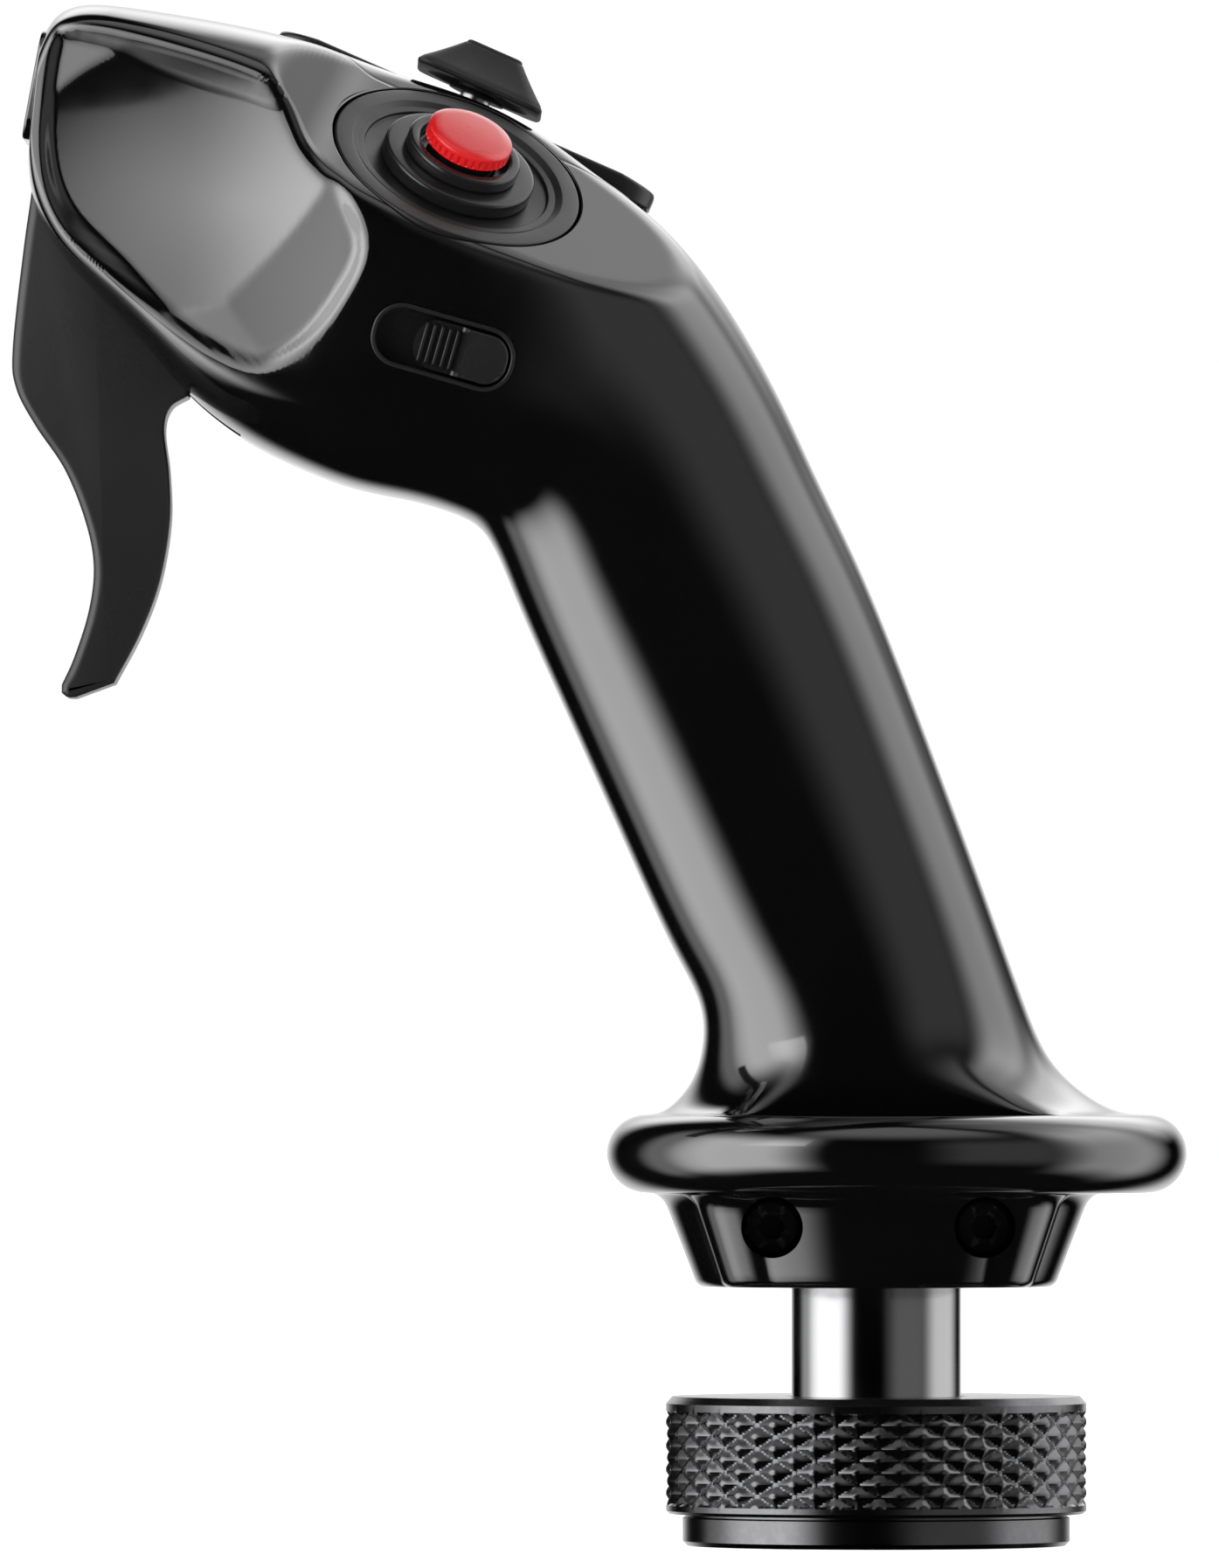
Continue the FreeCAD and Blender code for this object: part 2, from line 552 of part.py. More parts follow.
def cap_frame():
    """The nose cap's frame: Z out of the nose, X up the nose's face."""
    lean = Rotation(Vector(0, 1, 0), -90 + amount("cap_lean"))
    return Placement(Vector(amount("cap_x"), 0, amount("cap_z")), lean)


def make_shells():
    outer = make_outer()
    cavity = make_cavity()
    past = amount("past_side")
    spots = CASE_SCREWS + [(amount("pivot_x"), amount("pivot_z"))]
    hollow = cavity.cut([along_y(amount("boss_radius"), x, z, -past, past) for x, z in spots])
    solid = outer.cut([hollow] + make_openings())
    for label, side in (("shell_left", -1), ("shell_right", 1)):
        half = Part.makeBox(300, 80, 260, Vector(-180, 0 if side > 0 else -80, 0))
        piece = solid.common(half)
        largest = max(piece.Solids, key=lambda s: s.Volume)
        feature(label, largest)


# ---------------------------------------------------------------- coupling and tube
def make_coupling():
    nut, web = size("nut_height"), size("nut_web")
    edge = size("nut_chamfer")
    bore, thread = size("tube_radius") + size("running_gap"), size("thread_length")
    turned("coupling_nut", [
        (size("thread_radius"), 0), (size("nut_lip_radius") - edge, 0), (size("nut_lip_radius"), edge),
        (size("nut_lip_radius"), size("nut_band_bottom")), (size("nut_radius"), size("nut_band_bottom")),
        (size("nut_radius"), nut - edge), (size("nut_radius") - edge, nut), (bore, nut), (bore, nut - web),
        (size("relief_radius"), nut - web), (size("relief_radius"), thread), (size("thread_radius"), thread)])
    top, thick = size("flange_top"), size("washer_thickness")
    turned("thrust_washer", [
        (size("tube_radius") + size("running_gap"), top), (size("washer_radius"), top),
        (size("washer_radius"), top + thick), (size("tube_radius") + size("running_gap"), top + thick)])
    groove, clip = size("circlip_groove"), size("circlip_height")
    tube = turned("mounting_tube", [
        (size("tube_bore"), size("flange_bottom")), (size("flange_radius"), size("flange_bottom")),
        (size("flange_radius"), top), (size("tube_radius"), top), (size("tube_radius"), clip), (groove, clip),
        (groove, clip + size("circlip_thickness")), (size("tube_radius"), clip + size("circlip_thickness")),
        (size("tube_radius"), size("tube_top")), (size("tube_bore"), size("tube_top"))])
    sketch = new_sketch(tube, "XZ_Plane")
    circle(sketch, 0, size("cross_pin_height"), size("cross_pin_radius"))
    pocket(tube, sketch, size("tube_radius") * 2 + 2, symmetric=True)
    clip_radius, clip_top = size("circlip_radius"), clip + size("circlip_thickness")
    clip_ring = turned("tube_circlip", [
        (groove, clip), (clip_radius, clip), (clip_radius, clip_top), (groove, clip_top)])
    sketch = new_sketch(clip_ring)
    mouth, beyond = size("circlip_mouth") / 2, size("circlip_radius") + 2
    polygon(sketch, [(0, -mouth), (beyond, -mouth), (beyond, mouth), (0, mouth)])
    pocket(clip_ring, sketch, clip * 3, symmetric=True)
    pin = new_body("tube_cross_pin")
    sketch = new_sketch(pin, "XZ_Plane")
    circle(sketch, 0, size("cross_pin_height"), size("cross_pin_radius"))
    pad(pin, sketch, size("cross_pin_half") * 2 - 1, symmetric=True)


def make_plug():
    """The plug insert in the tube's foot, with its contacts."""
    face, floor = size("plug_face"), size("plug_face") + size("plug_recess")
    plug = turned("plug_insert", [
        (0, floor), (size("plug_recess_radius"), floor), (size("plug_recess_radius"), face),
        (size("tube_bore"), face), (size("tube_bore"), size("plug_top")), (0, size("plug_top"))])
    key = new_sketch(plug, "XY_Plane", face)
    start, end, half = size("plug_key_start"), size("plug_key_end"), size("plug_key_half")
    polygon(key, [(start, -half), (end, -half), (end, half), (start, half)])
    pocket(plug, key, size("plug_recess"), reverse=True)
    holes = new_sketch(plug, "XY_Plane", face)
    count = int(amount("contact_count"))
    spots = []
    for i in range(count):
        angle = math.radians(amount("contact_start") + amount("contact_sweep") * i / (count - 1))
        spots.append((math.cos(angle), math.sin(angle)))
        circle(holes, size("contact_circle") * spots[-1][0], size("contact_circle") * spots[-1][1],
               size("contact_radius"))
    pocket(plug, holes, 20, reverse=True)
    contacts = new_body("plug_contacts")
    contacts.AllowCompound = True
    sketch = new_sketch(contacts, "XY_Plane", face + size("contact_set_back"))
    for x, y in spots:
        circle(sketch, size("contact_circle") * x, size("contact_circle") * y, size("contact_radius"))
    pad(contacts, sketch, size("contact_length"))


def screw_body(label, shank, head, head_height, length, key=None):
    """A screw along Z, its head's top at Z = 0 and its shank pointing down."""
    edge = size("edge") / 2
    body = turned(label, [
        (0, -length), (shank - edge, -length), (shank, -length + edge), (shank, -head_height),
        (head, -head_height), (head, -edge), (head - edge, 0), (0, 0)])
    sketch = new_sketch(body)
    span = key or head
    flats = [(span / 2 * math.cos(math.pi * i / 3) / math.cos(math.pi / 6),
              span / 2 * math.sin(math.pi * i / 3) / math.cos(math.pi / 6)) for i in range(6)]
    polygon(sketch, flats)
    pocket(body, sketch, head_height * 0.55, reverse=False)
    return body


def make_fasteners():
    """Clamp screws and nuts in the collar, case screws from the right, and plate screws in the hat plate."""
    z, depth = amount("clamp_screw_height"), amount("clamp_hole_depth")
    towards_left = Rotation(Vector(1, 0, 0), 90)
    spots = (-amount("clamp_screw_x"), amount("clamp_screw_x"))
    master = screw_body("clamp_screw_master", size("clamp_shank"), size("clamp_head"),
                        size("clamp_head_height"), size("clamp_length") + size("clamp_head_height") + 2.4,
                        size("hex_key"))
    head_top = -depth - amount("clamp_head_height")
    group_of("clamp_screws", master, [Placement(Vector(x, head_top, z), towards_left) for x in spots])
    nut = new_body("clamp_nut_master")
    sketch = new_sketch(nut)
    flats = size("clamp_nut_flats")
    polygon(sketch, [(flats / 2 * math.cos(math.pi * i / 3) / math.cos(math.pi / 6),
                      flats / 2 * math.sin(math.pi * i / 3) / math.cos(math.pi / 6)) for i in range(6)])
    circle(sketch, 0, 0, size("clamp_shank"))
    pad(nut, sketch, size("clamp_nut_height"))
    group_of("clamp_nuts", nut, [Placement(Vector(x, depth + amount("clamp_nut_height"), z), towards_left)
                                 for x in spots])
    case = screw_body("case_screw_master", size("case_screw_shank"), size("case_screw_head"),
                      size("case_screw_head_height"), size("case_screw_length"))
    sink = amount("case_screw_sink") + amount("case_screw_head_height")
    towards_right = Rotation(Vector(1, 0, 0), -90)
    group_of("case_screws", case, [Placement(Vector(x, sink, z), towards_right) for x, z in CASE_SCREWS])
    plate = screw_body("plate_screw_master", size("plate_screw_shank"), size("plate_screw_head"),
                       size("plate_end") * 0.8, size("plate_screw_length"))
    group_of("plate_screws", plate, [shifted(HAT, x, 0, screw_seat(x)) for x in
                                     (-amount("plate_screw_x"), amount("plate_screw_x"))])


def crown_radius():
    """The radius of the hat plate's crowned top, from its chord and rise."""
    rise = amount("plate_crown") - amount("plate_end")
    half = amount("plate_length") / 2
    return (half * half + rise * rise) / (2 * rise)


def screw_seat(x):
    """The height of the hat plate's crowned top at x, where a screw's head lies flush."""
    radius = crown_radius()
    return amount("plate_crown") - radius + math.sqrt(radius * radius - x * x) - 0.25


# ---------------------------------------------------------------- fire button
def make_fire_button():
    floor, web = -size("bezel_floor"), size("bezel_web")
    edge, outer, body_radius = size("edge"), size("bezel_radius"), size("bushing_body")
    bezel = turned("fire_bezel", [
        (body_radius, floor), (size("bezel_floor_radius"), floor),
        (size("bezel_floor_radius"), -size("bezel_slope_depth")),
        (size("bezel_slope"), -size("bezel_slope_depth")), (size("bezel_step"), -edge), (outer - edge, 0),
        (outer, -edge), (outer, -size("bezel_depth")), (outer - size("bezel_skirt"), -size("bezel_depth")),
        (outer - size("bezel_skirt"), floor - web), (body_radius, floor - web)])
    nut_radius, nut_top = size("ring_nut_radius"), size("ring_nut_top")
    ring_nut = turned("fire_ring_nut", [
        (body_radius, floor), (nut_radius, floor), (nut_radius, nut_top - edge), (nut_radius - edge, nut_top),
        (body_radius, nut_top)])
    bore, top = size("plunger_radius") + size("pin_fit"), size("bushing_top")
    bushing = turned("fire_bushing", [
        (bore, -size("bushing_length")), (body_radius, -size("bushing_length")), (body_radius, nut_top),
        (size("bushing_radius"), nut_top), (size("bushing_radius"), top - edge),
        (size("bushing_radius") - edge, top), (size("button_well"), top),
        (size("button_well"), top - size("button_well_depth")), (bore, top - size("button_well_depth"))])
    cap = turned("fire_button", [
        (0, size("button_skirt")), (size("button_radius"), size("button_skirt")),
        (size("button_radius"), size("button_top") - size("edge") * 2),
        (size("button_radius") - size("edge"), size("button_top") - size("edge") / 2),
        (size("button_radius") - size("edge") * 2, size("button_top")), (0, size("button_top"))])
    foot, shoulder = size("button_skirt") - size("plunger_length"), -size("plunger_shoulder")
    plunger = turned("fire_plunger", [
        (0, foot), (size("plunger_pin"), foot), (size("plunger_pin"), shoulder),
        (size("plunger_radius"), shoulder), (size("plunger_radius"), size("button_skirt")),
        (0, size("button_skirt"))])
    for piece in (bezel, ring_nut, bushing, cap, plunger):
        place(piece, FIRE)
    body = block("fire_switch", body_radius * 2, body_radius, body_radius)
    legs = new_sketch(body, "XY_Plane", -body_radius)
    for side in (-1, 0, 1):
        circle(legs, size("leg_pitch") * side, 0, size("leg_radius"))
    pad(body, legs, size("leg_length"), reverse=True)
    place(body, shifted(FIRE, z=-amount("bushing_length") - amount("edge") / 4))


# ---------------------------------------------------------------- hat switch
def make_hat():
    plate = new_body("hat_plate")
    sketch = new_sketch(plate)
    rounded_rectangle(sketch, size("plate_length") / 2, size("plate_width") / 2, size("plate_corner"))
    pad(plate, sketch, size("plate_crown"))
    crown = new_sketch(plate, "XZ_Plane")
    radius = crown_radius()
    half = amount("plate_length") / 2 + 1
    reach = amount("plate_crown") - radius + math.sqrt(radius * radius - half * half)
    arc = Part.Arc(Vector(-half, reach, 0), Vector(0, amount("plate_crown"), 0), Vector(half, reach, 0))
    crown.addGeometry(arc)
    for start, end in (((half, reach), (half, 9)), ((half, 9), (-half, 9)), ((-half, 9), (-half, reach))):
        crown.addGeometry(Part.LineSegment(Vector(*start, 0), Vector(*end, 0)))
    pocket(plate, crown, size("plate_width") + 2, symmetric=True)
    holes = new_sketch(plate)
    circle(holes, 0, 0, size("stem_hole"))
    pocket(plate, holes, size("plate_crown") + 1, reverse=True)
    seats = new_sketch(plate)
    for side in (-1, 1):
        circle(seats, size("plate_screw_x") * side, 0, size("plate_screw_shank"))
    pocket(plate, seats, size("plate_crown") + 1, reverse=True)
    for side in (-1, 1):
        x = side * amount("plate_screw_x")
        sink = new_sketch(plate, "XY_Plane", screw_seat(x) - size("plate_end") * 0.8)
        circle(sink, size("plate_screw_x") * side, 0, size("plate_screw_head"))
        pocket(plate, sink, size("plate_crown"), reverse=True)
    place(plate, HAT)

    housing = new_body("hat_housing")
    sketch = new_sketch(housing)
    side_half = size("housing_half")
    rounded_rectangle(sketch, side_half, side_half - 1, size("housing_corner"))
    pad(housing, sketch, size("housing_depth"), reverse=True)
    chamber = new_sketch(housing)
    circle(chamber, 0, 0, size("housing_chamber"))
    pocket(housing, chamber, size("housing_depth") - size("housing_wall"))
    bearing = new_sketch(housing, "YZ_Plane")
    circle(bearing, 0, -size("pivot_depth"), size("gimbal_pin") + size("pin_fit"))
    pocket(housing, bearing, size("housing_half") * 2 - 1.2, symmetric=True)
    place(housing, HAT)
    board = block("hat_contact_board", side_half * 2 - 1, side_half * 2 - 3, size("housing_wall"))
    place(board, shifted(HAT, z=-amount("housing_depth")))

    gimbal = new_body("hat_gimbal")
    sketch = new_sketch(gimbal)
    circle(sketch, 0, 0, size("gimbal_outer"))
    circle(sketch, 0, 0, size("gimbal_inner"))
    pad(gimbal, sketch, size("gimbal_height"), symmetric=True)
    lugs = new_sketch(gimbal, "YZ_Plane")
    circle(lugs, 0, 0, size("gimbal_pin"))
    pad(gimbal, lugs, size("housing_half") * 2 - 1.4, symmetric=True)
    waist = new_sketch(gimbal)
    circle(waist, 0, 0, size("gimbal_inner"))
    pocket(gimbal, waist, size("gimbal_height") + 2, symmetric=True)
    axle = new_sketch(gimbal, "XZ_Plane")
    circle(axle, 0, 0, size("gimbal_pin") + size("pin_fit"))
    pocket(gimbal, axle, size("gimbal_outer") * 2 + 2, symmetric=True)
    place(gimbal, PIVOT)

    top = size("pivot_depth") + size("rim_height") + 2
    stem = turned("hat_stem", [
        (0, -size("stem_foot")), (size("stem_radius"), -size("stem_foot")), (size("stem_radius"), top),
        (0, top)])
    bar = new_sketch(stem, "XZ_Plane")
    circle(bar, 0, 0, size("gimbal_pin"))
    pad(stem, bar, size("gimbal_outer") * 2 - 0.8, symmetric=True)
    place(stem, PIVOT)

    cap = new_body("hat_cap")
    foot = new_sketch(cap, "XY_Plane", size("rim_height"))
    rounded_rectangle(foot, size("rim_half"), size("rim_half"), size("rim_corner"))
    pad(cap, foot, size("rim_land"))
    low = new_sketch(cap, "XY_Plane", size("rim_height") + size("rim_land"))
    rounded_rectangle(low, size("rim_half"), size("rim_half"), size("rim_corner"))
    high = new_sketch(cap, "XY_Plane", size("cap_top_height"))
    rounded_rectangle(high, size("crest_half"), size("crest_half"), size("crest_corner"))
    loft = cap.newObject("PartDesign::AdditiveLoft", "hat_cap_slope")
    loft.Profile = low
    loft.Sections = [high]
    loft.Ruled = True
    hollow = new_sketch(cap, "XZ_Plane")
    polygon(hollow, [(size("skirt_neck"), size("rim_height")), (size("rim_half") - 1.4, size("rim_height")),
                     (size("skirt_neck"), size("rim_height") + size("cap_hollow"))])
    revolve(cap, hollow, "PartDesign::Groove")
    bore = new_sketch(cap, "XY_Plane", size("rim_height"))
    circle(bore, 0, 0, size("stem_radius"))
    pocket(cap, bore, 2, reverse=True)
    place(cap, HAT)

    skirt = turned("hat_skirt", [
        (size("stem_radius"), size("skirt_bottom")), (size("skirt_radius"), size("skirt_bottom")),
        (size("skirt_neck"), size("rim_height")), (size("stem_radius"), size("rim_height"))])
    place(skirt, HAT)


# ---------------------------------------------------------------- slide switch
def make_slide_switch():
    tray = new_body("slide_tray")
    sketch = new_sketch(tray)
    rounded_rectangle(sketch, size("tray_length") / 2, size("tray_width") / 2, size("tray_corner"))
    pad(tray, sketch, size("tray_depth"), reverse=True)
    well = new_sketch(tray)
    wall = size("tray_wall")
    rounded_rectangle(well, size("tray_length") / 2 - wall, size("tray_width") / 2 - wall,
                      size("tray_corner") - wall)
    pocket(tray, well, size("tray_depth") - size("tray_floor"))
    slot = new_sketch(tray)
    middle, half = slide_middle(), size("tongue_length") / 2 + size("slot_gap")
    rear, front = middle + half, middle - half - size("slide_travel")
    slot_half = size("tongue_width") / 2 + size("slot_gap")
    polygon(slot, [(front, -slot_half), (rear, -slot_half), (rear, slot_half), (front, slot_half)])
    pocket(tray, slot, size("tray_depth") + 1)
    place(tray, SLIDE)

    knob = new_body("slide_knob")
    plan = new_sketch(knob)
    rounded_rectangle(plan, size("knob_length") / 2, size("knob_width") / 2, size("knob_corner"))
    pad(knob, plan, size("knob_height"))
    tooth, height, valley = size("tooth_pitch"), size("tooth_height"), size("knob_valley")
    left = -(size("knob_length") / 2) - 1
    start = left + tooth * 1.6
    outline = [(left, size("knob_height") + 1), (left, valley), (start, valley)]
    count = int(amount("tooth_count"))
    for i in range(count):
        foot = start + tooth * i
        outline += [(foot + tooth * 0.25, valley + height), (foot + tooth * 0.55, valley + height),
                    (foot + tooth, valley)]
    crest = start + tooth * (count + 1.2)
    outline += [(crest, size("knob_height")), (crest, size("knob_height") + 1)]
    relief = new_sketch(knob, "XZ_Plane")
    polygon(relief, outline)
    pocket(knob, relief, size("knob_width") + 2, symmetric=True)
    tongue = new_sketch(knob)
    long_half, wide_half = size("tongue_length") / 2, size("tongue_width") / 2
    polygon(tongue, [(-long_half, -wide_half), (long_half, -wide_half), (long_half, wide_half),
                     (-long_half, wide_half)])
    pad(knob, tongue, size("tray_floor") + size("tongue_depth"), reverse=True)
    lift = amount("tray_floor") - amount("tray_depth") + amount("slide_lift")
    place(knob, shifted(SLIDE, x=number(slide_middle()), z=lift))

    switch = block("slide_switch_body", size("slide_body_length"), size("slide_body_width"),
                   size("slide_body_depth"))
    channel = new_sketch(switch)
    wide = size("tongue_width")
    polygon(channel, [(front, -wide), (rear, -wide), (rear, wide), (front, wide)])
    pocket(switch, channel, size("channel_depth"))
    place(switch, shifted(SLIDE, z=-amount("tray_depth")))


def slide_middle():
    """Where the knob's middle is along the tray at rest, with its rear end at the tray's rear wall."""
    return size("tray_length") / 2 - size("tray_wall") - size("slot_gap") - size("knob_length") / 2


# ---------------------------------------------------------------- trigger
def trigger_outline(y, setback):
    """The lever's outline in the plane at y, with its front moved back by setback."""
    def at(point, moved):
        return Vector(point[0] + (setback if moved else 0), y, point[1])

    def curve(points, moved):
        spline = Part.BSplineCurve()
        spline.interpolate([at(point, moved) for point in points])
        return spline.toShape()

    tip = Part.Arc(*[at(point, True) for point in [TRIGGER_FRONT[-1]] + TRIGGER_TIP]).toShape()
    corners = [at(TRIGGER_BACK[-1], False)] + [at(point, False) for point in TRIGGER_HEAD]
    corners.append(at(TRIGGER_FRONT[0], True))
    runs = [(at(TRIGGER_TIP[1], True), at(TRIGGER_BACK[0], False))] + list(zip(corners, corners[1:]))
    straight = [Part.LineSegment(start, end).toShape() for start, end in runs]
    curves = [curve(TRIGGER_FRONT, True), tip, straight[0], curve(TRIGGER_BACK, False)]
    return Part.Wire(curves + straight[1:])


def make_trigger():
    half, bevel = amount("trigger_half"), amount("trigger_bevel")
    middle = Part.Face(trigger_outline(bevel - half, 0)).extrude(Vector(0, 2 * (half - bevel), 0))
    cheeks = [Part.makeLoft([trigger_outline(side * (half - bevel), 0), trigger_outline(side * half, bevel)],
                            True, True) for side in (-1, 1)]
    lever = middle.fuse(cheeks).removeSplitter()
    bore = along_y(amount("pin_radius") + amount("pin_fit"), amount("pivot_x"), amount("pivot_z"), -10, 10)
    feature("trigger", lever.cut(bore))
    pin = new_body("trigger_pin")
    sketch = new_sketch(pin, "XZ_Plane")
    circle(sketch, size("pivot_x"), size("pivot_z"), size("pin_radius"))
    pad(pin, sketch, size("pin_half") * 2 - 0.4, symmetric=True)

    helix = Part.makeHelix(amount("spring_pitch"), amount("spring_length"), amount("spring_radius"))
    wire = Part.Wire([Part.Circle(Vector(amount("spring_radius"), 0, 0), Vector(0, 1, 0),
                                  amount("spring_wire")).toShape()])
    spring = Part.Wire(helix).makePipeShell([wire], True, True)
    item = feature("trigger_spring", spring)
    spot = Vector(amount("spring_x"), 0, amount("spring_z"))
    item.Placement = Placement(spot, Rotation(Vector(0, 1, 0), 90))


def make_microswitch(label, placement):
    """A subminiature switch: its case, two fixing holes and three terminals."""
    half_l, half_h = size("microswitch_length") / 2, size("microswitch_height") / 2
    body = new_body(label)
    body.AllowCompound = True
    sketch = new_sketch(body, "XZ_Plane")
    polygon(sketch, [(-half_l, -half_h), (half_l, -half_h), (half_l, half_h), (-half_l, half_h)])
    for side in (-1, 1):
        circle(sketch, size("switch_hole_x") * side, -size("switch_hole_drop"), size("switch_hole"))
    pad(body, sketch, size("microswitch_width"), symmetric=True)
    legs = new_sketch(body, "XY_Plane", -half_h)
    thick, wide = size("terminal_thickness"), size("terminal_half")
    for side in (-1, 0, 1):
        x = size("terminal_x") * side
        polygon(legs, [(x - thick, -wide), (x + thick, -wide), (x + thick, wide), (x - thick, wide)])
    pad(body, legs, size("leg_length"), reverse=True)
    place(body, placement)


# ---------------------------------------------------------------- electronics
def make_electronics():
    lean = Rotation(Vector(0, 1, 0), -amount("grip_lean"))
    spot = Placement(Vector(amount("board_x"), amount("board_y"), amount("board_z")), lean)
    board = new_body("circuit_board")
    sketch = new_sketch(board, "XZ_Plane")
    half_w, half_l = size("board_width") / 2, size("board_length") / 2
    polygon(sketch, [(-half_w, -half_l), (half_w, -half_l), (half_w, half_l), (-half_w, half_l)])
    pad(board, sketch, size("board_thickness"))
    place(board, spot)
    chips = new_body("board_components")
    chips.AllowCompound = True
    face = new_sketch(chips, "XZ_Plane")
    for x, z, half_x, half_z in CHIPS:
        polygon(face, [(x - half_x, z - half_z), (x + half_x, z - half_z), (x + half_x, z + half_z),
                       (x - half_x, z + half_z)])
    pad(chips, face, size("chip_height"), reverse=True)
    place(chips, spot)
    foot = amount("plug_face") + amount("contact_set_back") + amount("contact_length")
    path = [Vector(amount("loom_x"), 0, foot), Vector(amount("loom_x"), 0, amount("loom_bend")),
            Vector(amount("loom_end_x"), amount("loom_end_y"), amount("loom_end_z"))]
    feature("wiring_loom", bent_tube(path, amount("loom_radius")))


def bent_tube(path, radius):
    """A round lead along straight runs joined by tangent arcs."""
    edges, start = [], path[0]
    for before, corner, after in zip(path, path[1:], path[2:]):
        into, out = (corner - before).normalize(), (after - corner).normalize()
        reach = 0.45 * min((corner - before).Length, (after - corner).Length)
        first, last = corner - into * reach, corner + out * reach
        turn = math.acos(into.dot(out))
        arc_radius = reach / math.tan(turn / 2)
        middle = corner + (out - into).normalize() * arc_radius * (1 / math.cos(turn / 2) - 1)
        edges += [Part.LineSegment(start, first).toShape(), Part.Arc(first, middle, last).toShape()]
        start = last
    edges.append(Part.LineSegment(start, path[-1]).toShape())
    ring = Part.Wire([Part.Circle(path[0], path[1] - path[0], radius).toShape()])
    return Part.Wire(edges).makePipeShell([ring], True, False)


def make_nose_cap():
    cap = new_body("nose_cap")
    sketch = new_sketch(cap, "XY_Plane", -size("cap_inset"))
    rounded_rectangle(sketch, size("cap_height") / 2, size("cap_half_width"), size("cap_corner"))
    pad(cap, sketch, size("cap_thickness"))
    place(cap, cap_frame())


def write_parts():
    """Checks every object and exports each sub-part under its label."""
    doc.recompute()
    for item in doc.Objects:
        if "Invalid" in item.State or "Error" in item.State:
            raise ValueError(f"{item.Name} did not build: {item.State}")
    os.makedirs("parts", exist_ok=True)
    for item in doc.Objects:
        if item.TypeId not in ("PartDesign::Body", "Part::Feature") or item.Label.endswith("_master"):
            continue
        shape = item.Shape
        if shape.isNull() or not shape.isValid() or not shape.Solids:
            raise ValueError(f"{item.Label} is not a valid solid")
        shape.exportStep(f"parts/{item.Label}.step")
        print(item.Label, len(shape.Solids), round(shape.Volume, 1))


make_shells()
make_coupling()
make_plug()
make_fasteners()
make_fire_button()
make_hat()
make_slide_switch()
make_trigger()
for label, side in (("trigger_switch_first", -1), ("trigger_switch_second", 1)):
    spot = Vector(amount("switch_x"), side * amount("switch_y"), amount("switch_height"))
    make_microswitch(label, Placement(spot, Rotation(Vector(0, 1, 0), -90)))
make_electronics()
make_nose_cap()
write_parts()
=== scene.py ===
"""A flight joystick grip, dressed for display.

Two gloss shell halves on a chromed tube with a knurled coupling nut, a satin trigger, a ringed red button, a hat
switch on its plate and a slide switch. Sizes in the classes are millimetres; finished meshes are in metres.
"""

import json
import logging
import math
from dataclasses import dataclass, field
from enum import Enum
from typing import Dict, List, Sequence, Tuple, Union

import bmesh
import bpy
import numpy as np
from mathutils import Matrix, Vector
from mathutils.bvhtree import BVHTree
from mathutils.interpolate import poly_3d_calc


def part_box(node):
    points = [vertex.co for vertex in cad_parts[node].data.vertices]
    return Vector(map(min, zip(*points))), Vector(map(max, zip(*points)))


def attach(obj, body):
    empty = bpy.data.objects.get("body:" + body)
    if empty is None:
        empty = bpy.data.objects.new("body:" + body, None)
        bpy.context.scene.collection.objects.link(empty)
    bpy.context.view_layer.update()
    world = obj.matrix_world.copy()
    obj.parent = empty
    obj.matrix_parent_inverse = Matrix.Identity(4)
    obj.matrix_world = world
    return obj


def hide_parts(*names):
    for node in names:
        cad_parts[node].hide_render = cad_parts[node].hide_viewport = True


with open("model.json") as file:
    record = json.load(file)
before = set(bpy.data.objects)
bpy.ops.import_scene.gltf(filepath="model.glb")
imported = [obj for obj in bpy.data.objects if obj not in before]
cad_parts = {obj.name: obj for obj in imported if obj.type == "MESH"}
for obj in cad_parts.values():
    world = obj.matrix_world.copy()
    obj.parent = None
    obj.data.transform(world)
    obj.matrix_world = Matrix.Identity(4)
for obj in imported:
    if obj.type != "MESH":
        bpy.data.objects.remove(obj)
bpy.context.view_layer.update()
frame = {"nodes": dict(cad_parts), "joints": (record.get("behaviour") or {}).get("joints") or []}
MM = 0.001
SMOOTH_ANGLE = math.radians(32.0)
LOG = logging.getLogger("joystick")

Point = Tuple[float, float]
Corner = Tuple[float, float, float]
Array = np.ndarray


# ------------------------------------------------------------------ seats: local frames on the object
@dataclass(frozen=True)
class Seat:
    """A local frame in millimetres whose Z points out of the surface that it lies on."""

    origin: Array
    x: Array
    z: Array

    def axes(self) -> Array:
        """The three axes as rows."""
        return np.array([self.x, np.cross(self.z, self.x), self.z])

    def place(self, points: Array) -> Array:
        """Local points in the object's frame."""
        return self.origin + points @ self.axes()

    def local(self, points: Array) -> Array:
        """Points of the object's frame as this seat sees them."""
        return (points - self.origin) @ self.axes().T

    def shifted(self, x: float = 0.0, y: float = 0.0, z: float = 0.0) -> "Seat":
        """The same seat moved along its own axes."""
        return Seat(self.place(np.array([x, y, z])), self.x, self.z)

    def matrix(self) -> Matrix:
        """What carries a mesh in metres from the origin onto this seat."""
        return Matrix.Translation(Vector(self.origin * MM)) @ Matrix(self.axes().T.tolist()).to_4x4()


def unit(vector: Sequence[float]) -> Array:
    """The vector at length 1."""
    array = np.array(vector, float)
    return array / np.linalg.norm(array)


def node_middle(node: str) -> Array:
    """The middle of a CAD node's box, in millimetres."""
    low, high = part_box(node)
    return np.array((low + high) / 2) / MM


def joint(name: str) -> Dict:
    """The joint of that name from the frame."""
    return next(j for j in frame["joints"] if j["name"] == name)


